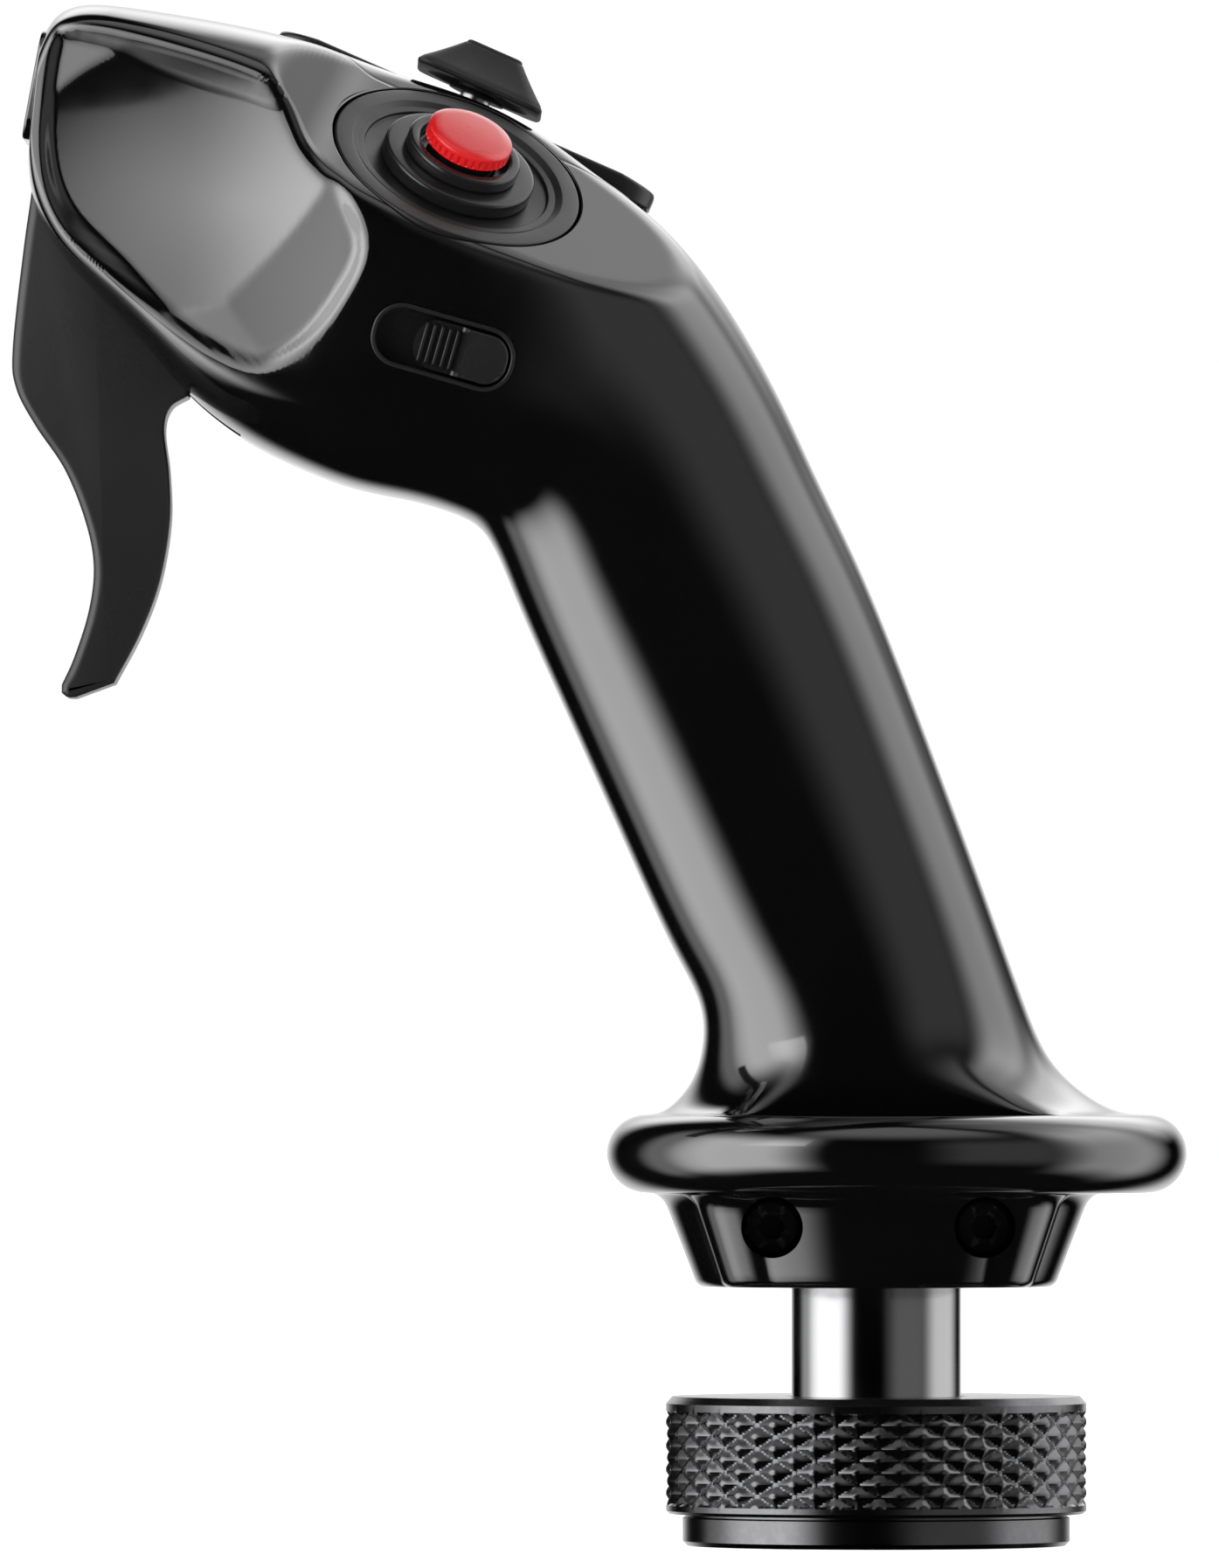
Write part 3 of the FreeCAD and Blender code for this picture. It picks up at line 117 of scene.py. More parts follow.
# how far each seat lies outside its node's middle, or the hat's outside its pivot, in millimetres
RING_NUT_MIDDLE = 0.15
PIVOT_DEPTH = 3.0
TRAY_MIDDLE = 2.5
CAP_MIDDLE = 0.55
# how the flats under the slide switch and the nose cap lean
SLIDE_LEAN = math.radians(2.5)
CAP_LEAN = math.radians(10.5)


def fire_seat() -> Seat:
    """Where the red button's ring lies, its Z the button's axis."""
    out = -unit(joint("fire_press")["axis"])
    middle = node_middle("fire_ring_nut") - out * RING_NUT_MIDDLE
    return Seat(middle, unit(np.cross((0, 1, 0), out)), out)


def hat_seat() -> Seat:
    """Where the hat switch's plate lies."""
    along, across = unit(joint("hat_roll")["axis"]), unit(joint("hat_pitch")["axis"])
    out = np.cross(along, across)
    return Seat(np.array(joint("hat_roll")["pos_m"]) / MM + out * PIVOT_DEPTH, along, out)


def slide_seat() -> Seat:
    """Where the slide switch's tray opens, its X towards the rear."""
    along = -unit(joint("slide_travel")["axis"])
    up = np.cross(along, (0, 1, 0))
    out = -np.array((0, math.cos(SLIDE_LEAN), 0)) - up * math.sin(SLIDE_LEAN)
    return Seat(node_middle("slide_tray") + out * TRAY_MIDDLE, along, out)


def nose_seat() -> Seat:
    """The nose's flat end, its X up."""
    up = np.array((math.sin(CAP_LEAN), 0, math.cos(CAP_LEAN)))
    out = np.array((-math.cos(CAP_LEAN), 0, math.sin(CAP_LEAN)))
    return Seat(node_middle("nose_cap") + out * CAP_MIDDLE, up, out)


UPRIGHT = Seat(np.zeros(3), np.array((1.0, 0, 0)), np.array((0, 0, 1.0)))


def facing_y(x: float, y: float, z: float, side: int) -> Seat:
    """A seat at a point, its Z towards the left (side -1) or the right (side 1)."""
    return Seat(np.array((x, y, z)), np.array((1.0, 0, 0)), np.array((0, float(side), 0)))


# ------------------------------------------------------------------ outlines and profiles
@dataclass(frozen=True)
class RoundedRectangle:
    """A rectangle with round corners, centred on its seat."""

    half_x: float
    half_y: float
    corner: float
    steps: int = 10

    def ring(self, grow: float = 0.0) -> Array:
        """Its points, grown outwards by that much, counter-clockwise."""
        half_x, half_y = self.half_x + grow, self.half_y + grow
        corner = min(max(self.corner + grow, 0.02), half_x, half_y)
        turns = []
        for i, (sx, sy) in enumerate(((1, 1), (-1, 1), (-1, -1), (1, -1))):
            angles = np.linspace(i, i + 1, self.steps + 1) * math.pi / 2
            turns.append(np.stack([sx * (half_x - corner) + corner * np.cos(angles),
                                   sy * (half_y - corner) + corner * np.sin(angles)], axis=1))
        return np.concatenate(turns)


@dataclass(frozen=True)
class Disc:
    """A round outline, centred on its seat."""

    radius: float
    count: int = 96

    def ring(self, grow: float = 0.0) -> Array:
        """Its points, grown outwards by that much, counter-clockwise."""
        angles = np.arange(self.count) * 2 * math.pi / self.count
        return (self.radius + grow) * np.stack([np.cos(angles), np.sin(angles)], axis=1)


Outline = Union[RoundedRectangle, Disc]


def quarter_round(radius: float, count: int) -> List[Point]:
    """The points of a round edge as (inset, drop), from its upright side to its top."""
    return [(radius * (1 - math.cos(a)), radius * (1 - math.sin(a))) for a in np.linspace(0, math.pi / 2, count)]


def eased(profile: Sequence[Point], radius: float, steps: int = 4, closed: bool = False) -> List[Point]:
    """A profile whose corners are rounded.

    Args:
        profile: its corners.
        radius: the corners' radius, less where the runs are too short for it.
        steps: how many runs each round corner has.
        closed: whether the last corner joins the first.

    Returns:
        The points of the eased profile.
    """
    corners = [np.array(point, float) for point in profile]
    count = len(corners)
    out: List[Point] = []
    for i, corner in enumerate(corners):
        if not closed and i in (0, count - 1):
            out.append(tuple(corner))
            continue
        before, after = corners[i - 1] - corner, corners[(i + 1) % count] - corner
        length_before, length_after = np.linalg.norm(before), np.linalg.norm(after)
        before, after = before / length_before, after / length_after
        half = math.acos(max(-1.0, min(1.0, float(before @ after)))) / 2
        if half > math.radians(85):
            out.append(tuple(corner))
            continue
        reach = min(radius / math.tan(half), 0.45 * length_before, 0.45 * length_after)
        start, end = corner + before * reach, corner + after * reach
        for step in range(steps + 1):
            share = step / steps
            out.append(tuple((1 - share) ** 2 * start + 2 * share * (1 - share) * corner + share ** 2 * end))
    return out


def through(points: Sequence[Point], per_run: int, closed: bool = False) -> Array:
    """A smooth Catmull-Rom line through the points."""
    knots = np.array(points, float)
    if closed:
        knots = np.concatenate([knots[-1:], knots, knots[:2]])
    else:
        knots = np.concatenate([2 * knots[:1] - knots[1:2], knots, 2 * knots[-1:] - knots[-2:-1]])
    line = []
    for a, b, c, d in zip(knots, knots[1:], knots[2:], knots[3:]):
        for step in range(per_run):
            t = step / per_run
            line.append(0.5 * (2 * b + (c - a) * t + (2 * a - 5 * b + 4 * c - d) * t * t
                               + (3 * b - a - 3 * c + d) * t ** 3))
    if not closed:
        line.append(knots[-2])
    return np.array(line)


def natural_spline(knots: Array, values: Array, at: Array) -> Array:
    """A natural cubic spline through rows of values.

    Args:
        knots: where each row lies.
        values: the rows.
        at: where the spline is wanted.

    Returns:
        One row for each place.
    """
    count, gaps = len(knots), np.diff(knots)
    slopes = np.diff(values, axis=0) / gaps[:, None]
    system, right = np.eye(count), np.zeros_like(values)
    for i in range(1, count - 1):
        system[i, i - 1:i + 2] = gaps[i - 1], 2 * (gaps[i - 1] + gaps[i]), gaps[i]
        right[i] = 6 * (slopes[i] - slopes[i - 1])
    bend = np.linalg.solve(system, right)
    i = np.clip(np.searchsorted(knots, at) - 1, 0, count - 2)
    gap, left, past = gaps[i][:, None], (at - knots[i])[:, None], (knots[i + 1] - at)[:, None]
    return (bend[i] * past ** 3 + bend[i + 1] * left ** 3) / (6 * gap) + (
        values[i] / gap - bend[i] * gap / 6) * past + (values[i + 1] / gap - bend[i + 1] * gap / 6) * left


# ------------------------------------------------------------------ meshes
def new_object(name: str, points: Array, faces: Sequence[Sequence[int]]) -> bpy.types.Object:
    """A mesh object from points in millimetres."""
    mesh = bpy.data.meshes.new(name)
    mesh.from_pydata((np.asarray(points) * MM).tolist(), [], faces)
    made = bpy.data.objects.new(name, mesh)
    bpy.context.scene.collection.objects.link(made)
    return made


def tidy(piece: bpy.types.Object, merge: float = 1e-6) -> bpy.types.Object:
    """Merges doubles, points the faces outwards and shades the piece smooth up to its sharp edges."""
    work = bmesh.new()
    work.from_mesh(piece.data)
    bmesh.ops.remove_doubles(work, verts=work.verts, dist=merge)
    bmesh.ops.dissolve_degenerate(work, edges=work.edges, dist=merge / 2)
    bmesh.ops.recalc_face_normals(work, faces=work.faces)
    work.to_mesh(piece.data)
    work.free()
    shade(piece)
    return piece


def shade(piece: bpy.types.Object, angle: float = SMOOTH_ANGLE) -> None:
    """Smooth shading with sharp edges above the angle."""
    piece.data.polygons.foreach_set("use_smooth", [True] * len(piece.data.polygons))
    piece.data.set_sharp_from_angle(angle=angle)


def skin(count: int, around: int, loop: bool = False) -> List[List[int]]:
    """The faces over that many rings of points: quads between them, and both ends capped unless it's a loop."""
    index = np.arange(count * around).reshape(count, around)
    lower = index if loop else index[:-1]
    upper = np.roll(index, -1, axis=0) if loop else index[1:]
    quads = np.stack([lower, np.roll(lower, -1, axis=1), np.roll(upper, -1, axis=1), upper], axis=-1)
    caps = [] if loop else [index[0][::-1].tolist(), index[-1].tolist()]
    return quads.reshape(-1, 4).tolist() + caps


def stacked(name: str, rings: Array, seat: Seat = UPRIGHT, loop: bool = False) -> bpy.types.Object:
    """A closed piece skinned over rings of points.

    Args:
        name: the piece's name.
        rings: an array of rings, points and coordinates, in the seat's frame.
        seat: where the piece stands.
        loop: whether the last ring joins the first; if not, both ends are capped.

    Returns:
        The piece.
    """
    return tidy(new_object(name, seat.place(rings.reshape(-1, 3)), skin(*rings.shape[:2], loop)))


def level_ring(points: Array, height: float) -> Array:
    """Flat points raised to a height."""
    return np.column_stack([points, np.full(len(points), height)])


def built(name: str, outline: Outline, profile: Sequence[Point], seat: Seat = UPRIGHT,
          loop: bool = False) -> bpy.types.Object:
    """A piece whose outline grows and rises along a profile of (growth, height) points."""
    rings = [level_ring(outline.ring(grow), height) for grow, height in profile]
    return stacked(name, np.array(rings), seat, loop)


def turned(name: str, profile: Sequence[Point], seat: Seat = UPRIGHT, count: int = 128, ease: float = 0.15,
           loop: bool = False) -> bpy.types.Object:
    """A piece turned about its seat's Z from (radius, height) points, with eased corners."""
    line = eased(profile, ease, closed=loop)
    return built(name, Disc(0.0, count), line, seat, loop)


def baked(piece: bpy.types.Object) -> bpy.types.Object:
    """Turns a piece's modifiers into its plain mesh."""
    evaluated = piece.evaluated_get(bpy.context.evaluated_depsgraph_get())
    mesh = bpy.data.meshes.new_from_object(evaluated)
    mesh.name = piece.name
    piece.modifiers.clear()
    piece.data = mesh
    return piece


def discard(piece: bpy.types.Object) -> None:
    """Removes a helper object."""
    bpy.data.objects.remove(piece, do_unlink=True)


class Cut(Enum):
    """What a second solid does to a first."""

    TAKE = "DIFFERENCE"
    JOIN = "UNION"
    KEEP = "INTERSECT"


def combine(piece: bpy.types.Object, tool: bpy.types.Object, how: Cut) -> bpy.types.Object:
    """Cuts, joins or intersects a piece with a second closed solid, which is used up."""
    modifier = piece.modifiers.new("combine", "BOOLEAN")
    modifier.operation = how.value
    modifier.solver = "MANIFOLD"
    modifier.object = tool
    baked(piece)
    discard(tool)
    return piece


def soft_edges(piece: bpy.types.Object, width: float, angle: float = 35.0) -> bpy.types.Object:
    """Rounds the piece's sharp edges with a small bevel."""
    modifier = piece.modifiers.new("soft_edges", "BEVEL")
    modifier.width = width * MM
    modifier.segments = 2
    modifier.limit_method = "ANGLE"
    modifier.angle_limit = math.radians(angle)
    modifier.use_clamp_overlap = True
    baked(piece)
    shade(piece)
    return piece


def prism(name: str, outline: Outline, low: float, high: float, seat: Seat = UPRIGHT,
          flare: float = 0.0) -> bpy.types.Object:
    """A cutter with straight walls; with a flare its mouth at Z = 0 opens in a small round."""
    mouth = [(grow, -drop) for grow, drop in quarter_round(flare, 5)] if flare else []
    return built(name, outline, [(0.0, low)] + mouth + [(flare, high)], seat)


def box(name: str, low: Sequence[float], high: Sequence[float]) -> bpy.types.Object:
    """A plain box between two corners, as a cutter."""
    middle, half = (np.array(low) + np.array(high)) / 2, (np.array(high) - np.array(low)) / 2
    corners = np.array([(half[0], half[1]), (-half[0], half[1]), (-half[0], -half[1]), (half[0], -half[1])])
    rings = np.array([level_ring(corners, z) for z in (-half[2], half[2])])
    return stacked(name, rings, Seat(middle, UPRIGHT.x, UPRIGHT.z))


def dressed(piece: bpy.types.Object, body: str, slot: "Slot", nodes: Sequence[str] = ()) -> bpy.types.Object:
    """Gives a finished piece its finish, the CAD body that it rides on and the nodes that it stands for."""
    piece.data.materials.clear()
    piece.data.materials.append(FINISHES[slot].material())
    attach(piece, body)
    if nodes:
        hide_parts(*nodes)
    LOG.info("%s: %d faces on %s, %s", piece.name, len(piece.data.polygons), body, slot.value)
    return piece


# ------------------------------------------------------------------ node trees
Socket = bpy.types.NodeSocket
Value = Union[bpy.types.NodeSocket, float, Tuple[float, ...]]


@dataclass
class Wiring:
    """A short way to add and link nodes in one tree."""

    tree: bpy.types.NodeTree

    def add(self, kind: str, **settings) -> bpy.types.Node:
        """A node of that kind with its properties set."""
        node = self.tree.nodes.new(kind)
        for name, value in settings.items():
            setattr(node, name, value)
        return node

    def join(self, source: Socket, target: Socket) -> None:
        """Links an output socket to an input socket."""
        self.tree.links.new(source, target)

    def feed(self, target: Socket, value: Value) -> None:
        """Sets an input socket to a value, or links it to another node's output."""
        if isinstance(value, bpy.types.NodeSocket):
            self.join(value, target)
        else:
            target.default_value = value

    def maths(self, operation: str, *values: Value, clamp: bool = False) -> Socket:
        """A Math node's output."""
        node = self.add("ShaderNodeMath", operation=operation, use_clamp=clamp)
        for socket, value in zip(node.inputs, values):
            self.feed(socket, value)
        return node.outputs[0]

    def ranged(self, value: Value, low: float, high: float, new_low: Value, new_high: Value,
               smooth: bool = False) -> Socket:
        """A Map Range node's output."""
        node = self.add("ShaderNodeMapRange", interpolation_type="SMOOTHSTEP" if smooth else "LINEAR")
        for socket, amount in zip(node.inputs, (value, low, high, new_low, new_high)):
            self.feed(socket, amount)
        return node.outputs[0]

    def noise(self, vector: Socket, scale: Value, detail: float = 2.0, roughness: float = 0.5) -> Socket:
        """A Noise Texture's factor."""
        node = self.add("ShaderNodeTexNoise")
        self.feed(node.inputs["Vector"], vector)
        self.feed(node.inputs["Scale"], scale)
        node.inputs["Detail"].default_value = detail
        node.inputs["Roughness"].default_value = roughness
        return node.outputs["Fac"]


def new_group(name: str, kind: str, inputs: Dict[str, str],
              outputs: Dict[str, str]) -> Tuple[Wiring, bpy.types.Node, bpy.types.Node]:
    """An empty node group with named sockets.

    Args:
        name: the group's name.
        kind: its tree type.
        inputs: socket types by name.
        outputs: socket types by name.

    Returns:
        The wiring, and the group's input and output nodes.
    """
    tree = bpy.data.node_groups.new(name, kind)
    for label, socket in inputs.items():
        tree.interface.new_socket(name=label, in_out="INPUT", socket_type=socket)
    for label, socket in outputs.items():
        tree.interface.new_socket(name=label, in_out="OUTPUT", socket_type=socket)
    wiring = Wiring(tree)
    return wiring, wiring.add("NodeGroupInput"), wiring.add("NodeGroupOutput")


FLOAT, VECTOR, GEOMETRY = "NodeSocketFloat", "NodeSocketVector", "NodeSocketGeometry"


@dataclass
class Effects:
    """The shader groups that several finishes share, each built when first asked for."""

    made: Dict[str, bpy.types.NodeTree] = field(default_factory=dict)

    def group(self, name: str) -> bpy.types.NodeTree:
        """The effect's group."""
        if name not in self.made:
            self.made[name] = getattr(self, name)()
        return self.made[name]

    def smudge(self) -> bpy.types.NodeTree:
        """Roughness that wanders between two values, as on handled plastic."""
        wiring, given, out = new_group("smudge", "ShaderNodeTree",
                                       {"Vector": VECTOR, "Scale": FLOAT, "Low": FLOAT, "High": FLOAT},
                                       {"Roughness": FLOAT})
        broad = wiring.noise(given.outputs["Vector"], given.outputs["Scale"], 4.0, 0.62)
        value = wiring.ranged(broad, 0.35, 0.7, given.outputs["Low"], given.outputs["High"], True)
        wiring.join(value, out.inputs["Roughness"])
        return wiring.tree

    def grain(self) -> bpy.types.NodeTree:
        """The height of a moulded grain: fine cells over a slower unevenness."""
        wiring, given, out = new_group("grain", "ShaderNodeTree", {"Vector": VECTOR, "Scale": FLOAT},
                                       {"Height": FLOAT})
        cells = wiring.add("ShaderNodeTexVoronoi", feature="SMOOTH_F1")
        wiring.join(given.outputs["Vector"], cells.inputs["Vector"])
        wiring.join(given.outputs["Scale"], cells.inputs["Scale"])
        slow = wiring.noise(given.outputs["Vector"], wiring.maths("MULTIPLY", given.outputs["Scale"], 0.3), 3.0)
        height = wiring.maths("MULTIPLY_ADD", slow, 0.8, cells.outputs["Distance"])
        wiring.join(height, out.inputs["Height"])
        return wiring.tree

    def edge_wear(self) -> bpy.types.NodeTree:
        """A mask of raised edges, broken up by noise."""
        wiring, given, out = new_group("edge_wear", "ShaderNodeTree",
                                       {"Vector": VECTOR, "Scale": FLOAT, "Amount": FLOAT}, {"Mask": FLOAT})
        edge = wiring.ranged(wiring.add("ShaderNodeNewGeometry").outputs["Pointiness"], 0.53, 0.62, 0.0, 1.0)
        broken = wiring.ranged(wiring.noise(given.outputs["Vector"], given.outputs["Scale"], 5.0, 0.65),
                               0.45, 0.62, 0.0, 1.0)
        mask = wiring.maths("MULTIPLY", wiring.maths("MULTIPLY", edge, broken), given.outputs["Amount"],
                            clamp=True)
        wiring.join(mask, out.inputs["Mask"])
        return wiring.tree

    def dust(self) -> bpy.types.NodeTree:
        """A mask of fine dust that settles on faces that look up."""
        wiring, given, out = new_group("dust", "ShaderNodeTree", {"Vector": VECTOR, "Amount": FLOAT},
                                       {"Mask": FLOAT})
        parts = wiring.add("ShaderNodeSeparateXYZ")
        wiring.join(wiring.add("ShaderNodeNewGeometry").outputs["Normal"], parts.inputs[0])
        up = wiring.ranged(parts.outputs["Z"], 0.2, 1.0, 0.15, 1.0)
        speck = wiring.ranged(wiring.noise(given.outputs["Vector"], 2600.0, 6.0, 0.75), 0.58, 0.72, 0.0, 1.0)
        drift = wiring.ranged(wiring.noise(given.outputs["Vector"], 60.0, 3.0), 0.4, 0.65, 0.2, 1.0)
        mask = wiring.maths("MULTIPLY", wiring.maths("MULTIPLY", up, speck), drift)
        wiring.join(wiring.maths("MULTIPLY", mask, given.outputs["Amount"], clamp=True), out.inputs["Mask"])
        return wiring.tree


EFFECTS = Effects()


class Slot(Enum):
    """The material slots of the part's record."""

    SHELL = "gloss_shell"
    TRIGGER = "satin_trigger"
    DECK = "matte_deck"
    RUBBER = "hat_rubber"
    RED = "button_red"
    PLASTIC = "black_plastic"
    NUT = "anodised_nut"
    CHROME = "bright_steel"
    SPRING = "spring_steel"
    BLACK_STEEL = "black_steel"
    GOLD = "contact_gold"
    BOARD = "board_green"
    LOOM = "loom_grey"


class Lay(Enum):
    """How a finish's fine relief lies."""

    CELLS = "cells"
    TURNED = "turned"


@dataclass(frozen=True)
class Finish:
    """One finish: its colour, gloss, relief, wear and dust."""

    slot: Slot
    colour: Tuple[float, float, float]
    gloss: Tuple[float, float]
    metallic: float = 0.0
    coat: float = 0.0
    relief: float = 0.02
    relief_scale: float = 2400.0
    lay: Lay = Lay.CELLS
    worn: Tuple[float, float, float] = (0.12, 0.12, 0.12)
    wear: float = 0.3
    dusting: float = 0.15
    tint: float = 0.25
    specular: float = 0.5
    scatter: float = 0.0
    ior: float = 1.5

    def material(self) -> bpy.types.Material:
        """The finish's material, built once."""
        known = bpy.data.materials.get(self.slot.value + "_finish")
        return known or self._build()

    def _build(self) -> bpy.types.Material:
        """Wires the finish: colour with wear and dust, a wandering gloss and a fine relief."""
        made = bpy.data.materials.new(self.slot.value + "_finish")
        made.use_nodes = True
        made.node_tree.nodes.clear()
        wiring = Wiring(made.node_tree)
        place = wiring.add("ShaderNodeTexCoord").outputs["Object"]
        shader = wiring.add("ShaderNodeBsdfPrincipled")
        wiring.join(shader.outputs[0], wiring.add("ShaderNodeOutputMaterial").inputs["Surface"])
        shader.inputs["Metallic"].default_value = self.metallic
        shader.inputs["Coat Weight"].default_value = self.coat
        shader.inputs["Coat Roughness"].default_value = 0.06
        shader.inputs["Specular IOR Level"].default_value = self.specular
        shader.inputs["IOR"].default_value = self.ior
        shader.inputs["Subsurface Weight"].default_value = self.scatter
        shader.inputs["Subsurface Scale"].default_value = 0.001
        dust = self._effect(wiring, "dust", place, Amount=self.dusting)
        wear = self._effect(wiring, "edge_wear", place, Scale=700.0, Amount=self.wear)
        wiring.join(self._colour(wiring, place, wear, dust), shader.inputs["Base Color"])
        smudge = self._effect(wiring, "smudge", place, Scale=55.0, Low=self.gloss[0], High=self.gloss[1])
        rough = wiring.maths("MULTIPLY_ADD", dust, 0.35, smudge)
        wiring.join(rough, shader.inputs["Roughness"])
        bump = wiring.add("ShaderNodeBump")
        bump.inputs["Strength"].default_value = 1.0
        bump.inputs["Distance"].default_value = self.relief * MM
        wiring.join(self._height(wiring, place), bump.inputs["Height"])
        wiring.join(bump.outputs[0], shader.inputs["Normal"])
        return made

    def _effect(self, wiring: Wiring, name: str, place: Socket, **values: float) -> Socket:
        """The output of a shared effect at that place."""
        node = wiring.add("ShaderNodeGroup", node_tree=EFFECTS.group(name))
        wiring.join(place, node.inputs["Vector"])
        for label, value in values.items():
            node.inputs[label].default_value = value
        return node.outputs[0]

    def _colour(self, wiring: Wiring, place: Socket, wear: Socket, dust: Socket) -> Socket:
        """The colour, darker in drifts, with worn edges and dust over it."""
        shade_factor = wiring.ranged(wiring.noise(place, 90.0, 5.0, 0.6), 0.3, 0.7, 0.0, self.tint)
        colour = tuple(self.colour) + (1.0,)
        deep = tuple(channel * 0.6 for channel in self.colour) + (1.0,)
        dusty = (0.32, 0.32, 0.31, 1.0)
        for factor, other in ((shade_factor, deep), (wear, tuple(self.worn) + (1.0,)), (dust, dusty)):
            mix = wiring.add("ShaderNodeMix", data_type="RGBA")
            wiring.feed(mix.inputs["Factor"], factor)
            wiring.feed(mix.inputs["A"], colour)
            wiring.feed(mix.inputs["B"], other)
            colour = mix.outputs["Result"]
        return colour

    def _height(self, wiring: Wiring, place: Socket) -> Socket:
        """The height of the fine relief."""
        if self.lay is Lay.CELLS:
            return self._effect(wiring, "grain", place, Scale=self.relief_scale)
        stretch = wiring.add("ShaderNodeMapping")
        stretch.inputs["Scale"].default_value = (0.02, 0.02, 1.0)
        wiring.join(place, stretch.inputs["Vector"])
        return wiring.noise(stretch.outputs[0], self.relief_scale, 6.0, 0.7)


FINISHES: Dict[Slot, Finish] = {finish.slot: finish for finish in (
    Finish(Slot.SHELL, (0.0025, 0.0025, 0.0027), (0.07, 0.12), relief=0.0012, relief_scale=500.0, wear=0.05,
           dusting=0.02, ior=2.0),
    Finish(Slot.TRIGGER, (0.015, 0.015, 0.0155), (0.27, 0.34), relief=0.006, relief_scale=3200.0, wear=0.12,
           worn=(0.05, 0.05, 0.05), dusting=0.06),
    Finish(Slot.DECK, (0.010, 0.010, 0.0105), (0.34, 0.46), relief=0.006, relief_scale=3000.0, wear=0.1,
           worn=(0.05, 0.05, 0.05), dusting=0.08),
    Finish(Slot.RUBBER, (0.016, 0.016, 0.017), (0.5, 0.62), relief=0.009, relief_scale=2600.0, wear=0.12,
           worn=(0.06, 0.06, 0.06), dusting=0.12, specular=0.4),
    Finish(Slot.RED, (0.72, 0.012, 0.016), (0.24, 0.36), relief=0.003, relief_scale=2600.0, wear=0.15,
           worn=(0.9, 0.18, 0.16), dusting=0.04, coat=0.3, scatter=0.15, tint=0.35),
    Finish(Slot.PLASTIC, (0.012, 0.012, 0.0125), (0.2, 0.3), relief=0.003, relief_scale=2200.0, wear=0.1,
           dusting=0.05),
    Finish(Slot.NUT, (0.13, 0.13, 0.134), (0.19, 0.25), metallic=1.0, relief=0.004, relief_scale=5200.0,
           lay=Lay.TURNED, wear=0.25, worn=(0.3, 0.3, 0.31), dusting=0.03, tint=0.12),
    Finish(Slot.CHROME, (0.34, 0.34, 0.345), (0.12, 0.18), metallic=1.0, relief=0.0012, relief_scale=6000.0,
           lay=Lay.TURNED, wear=0.0, worn=(0.8, 0.8, 0.8), dusting=0.02, tint=0.12),
    Finish(Slot.SPRING, (0.42, 0.42, 0.44), (0.22, 0.32), metallic=1.0, relief=0.002, dusting=0.0),
    Finish(Slot.BLACK_STEEL, (0.035, 0.035, 0.037), (0.28, 0.4), metallic=0.85, relief=0.004, wear=0.5,
           worn=(0.3, 0.3, 0.3), dusting=0.04),
    Finish(Slot.GOLD, (0.83, 0.60, 0.22), (0.16, 0.24), metallic=1.0, relief=0.001, dusting=0.0),
    Finish(Slot.BOARD, (0.012, 0.10, 0.035), (0.28, 0.36), coat=0.4, relief=0.012, relief_scale=900.0,
           worn=(0.05, 0.2, 0.08), dusting=0.03),
    Finish(Slot.LOOM, (0.10, 0.10, 0.11), (0.5, 0.6), relief=0.02, relief_scale=1500.0, dusting=0.03),
)}


# ------------------------------------------------------------------ geometry node tools
KNURL_CREST = 0.8  # where each diamond's point is cut flat, as a share of its height
FLUTE_SHARE = 0.3  # how far a notch reaches into its pitch


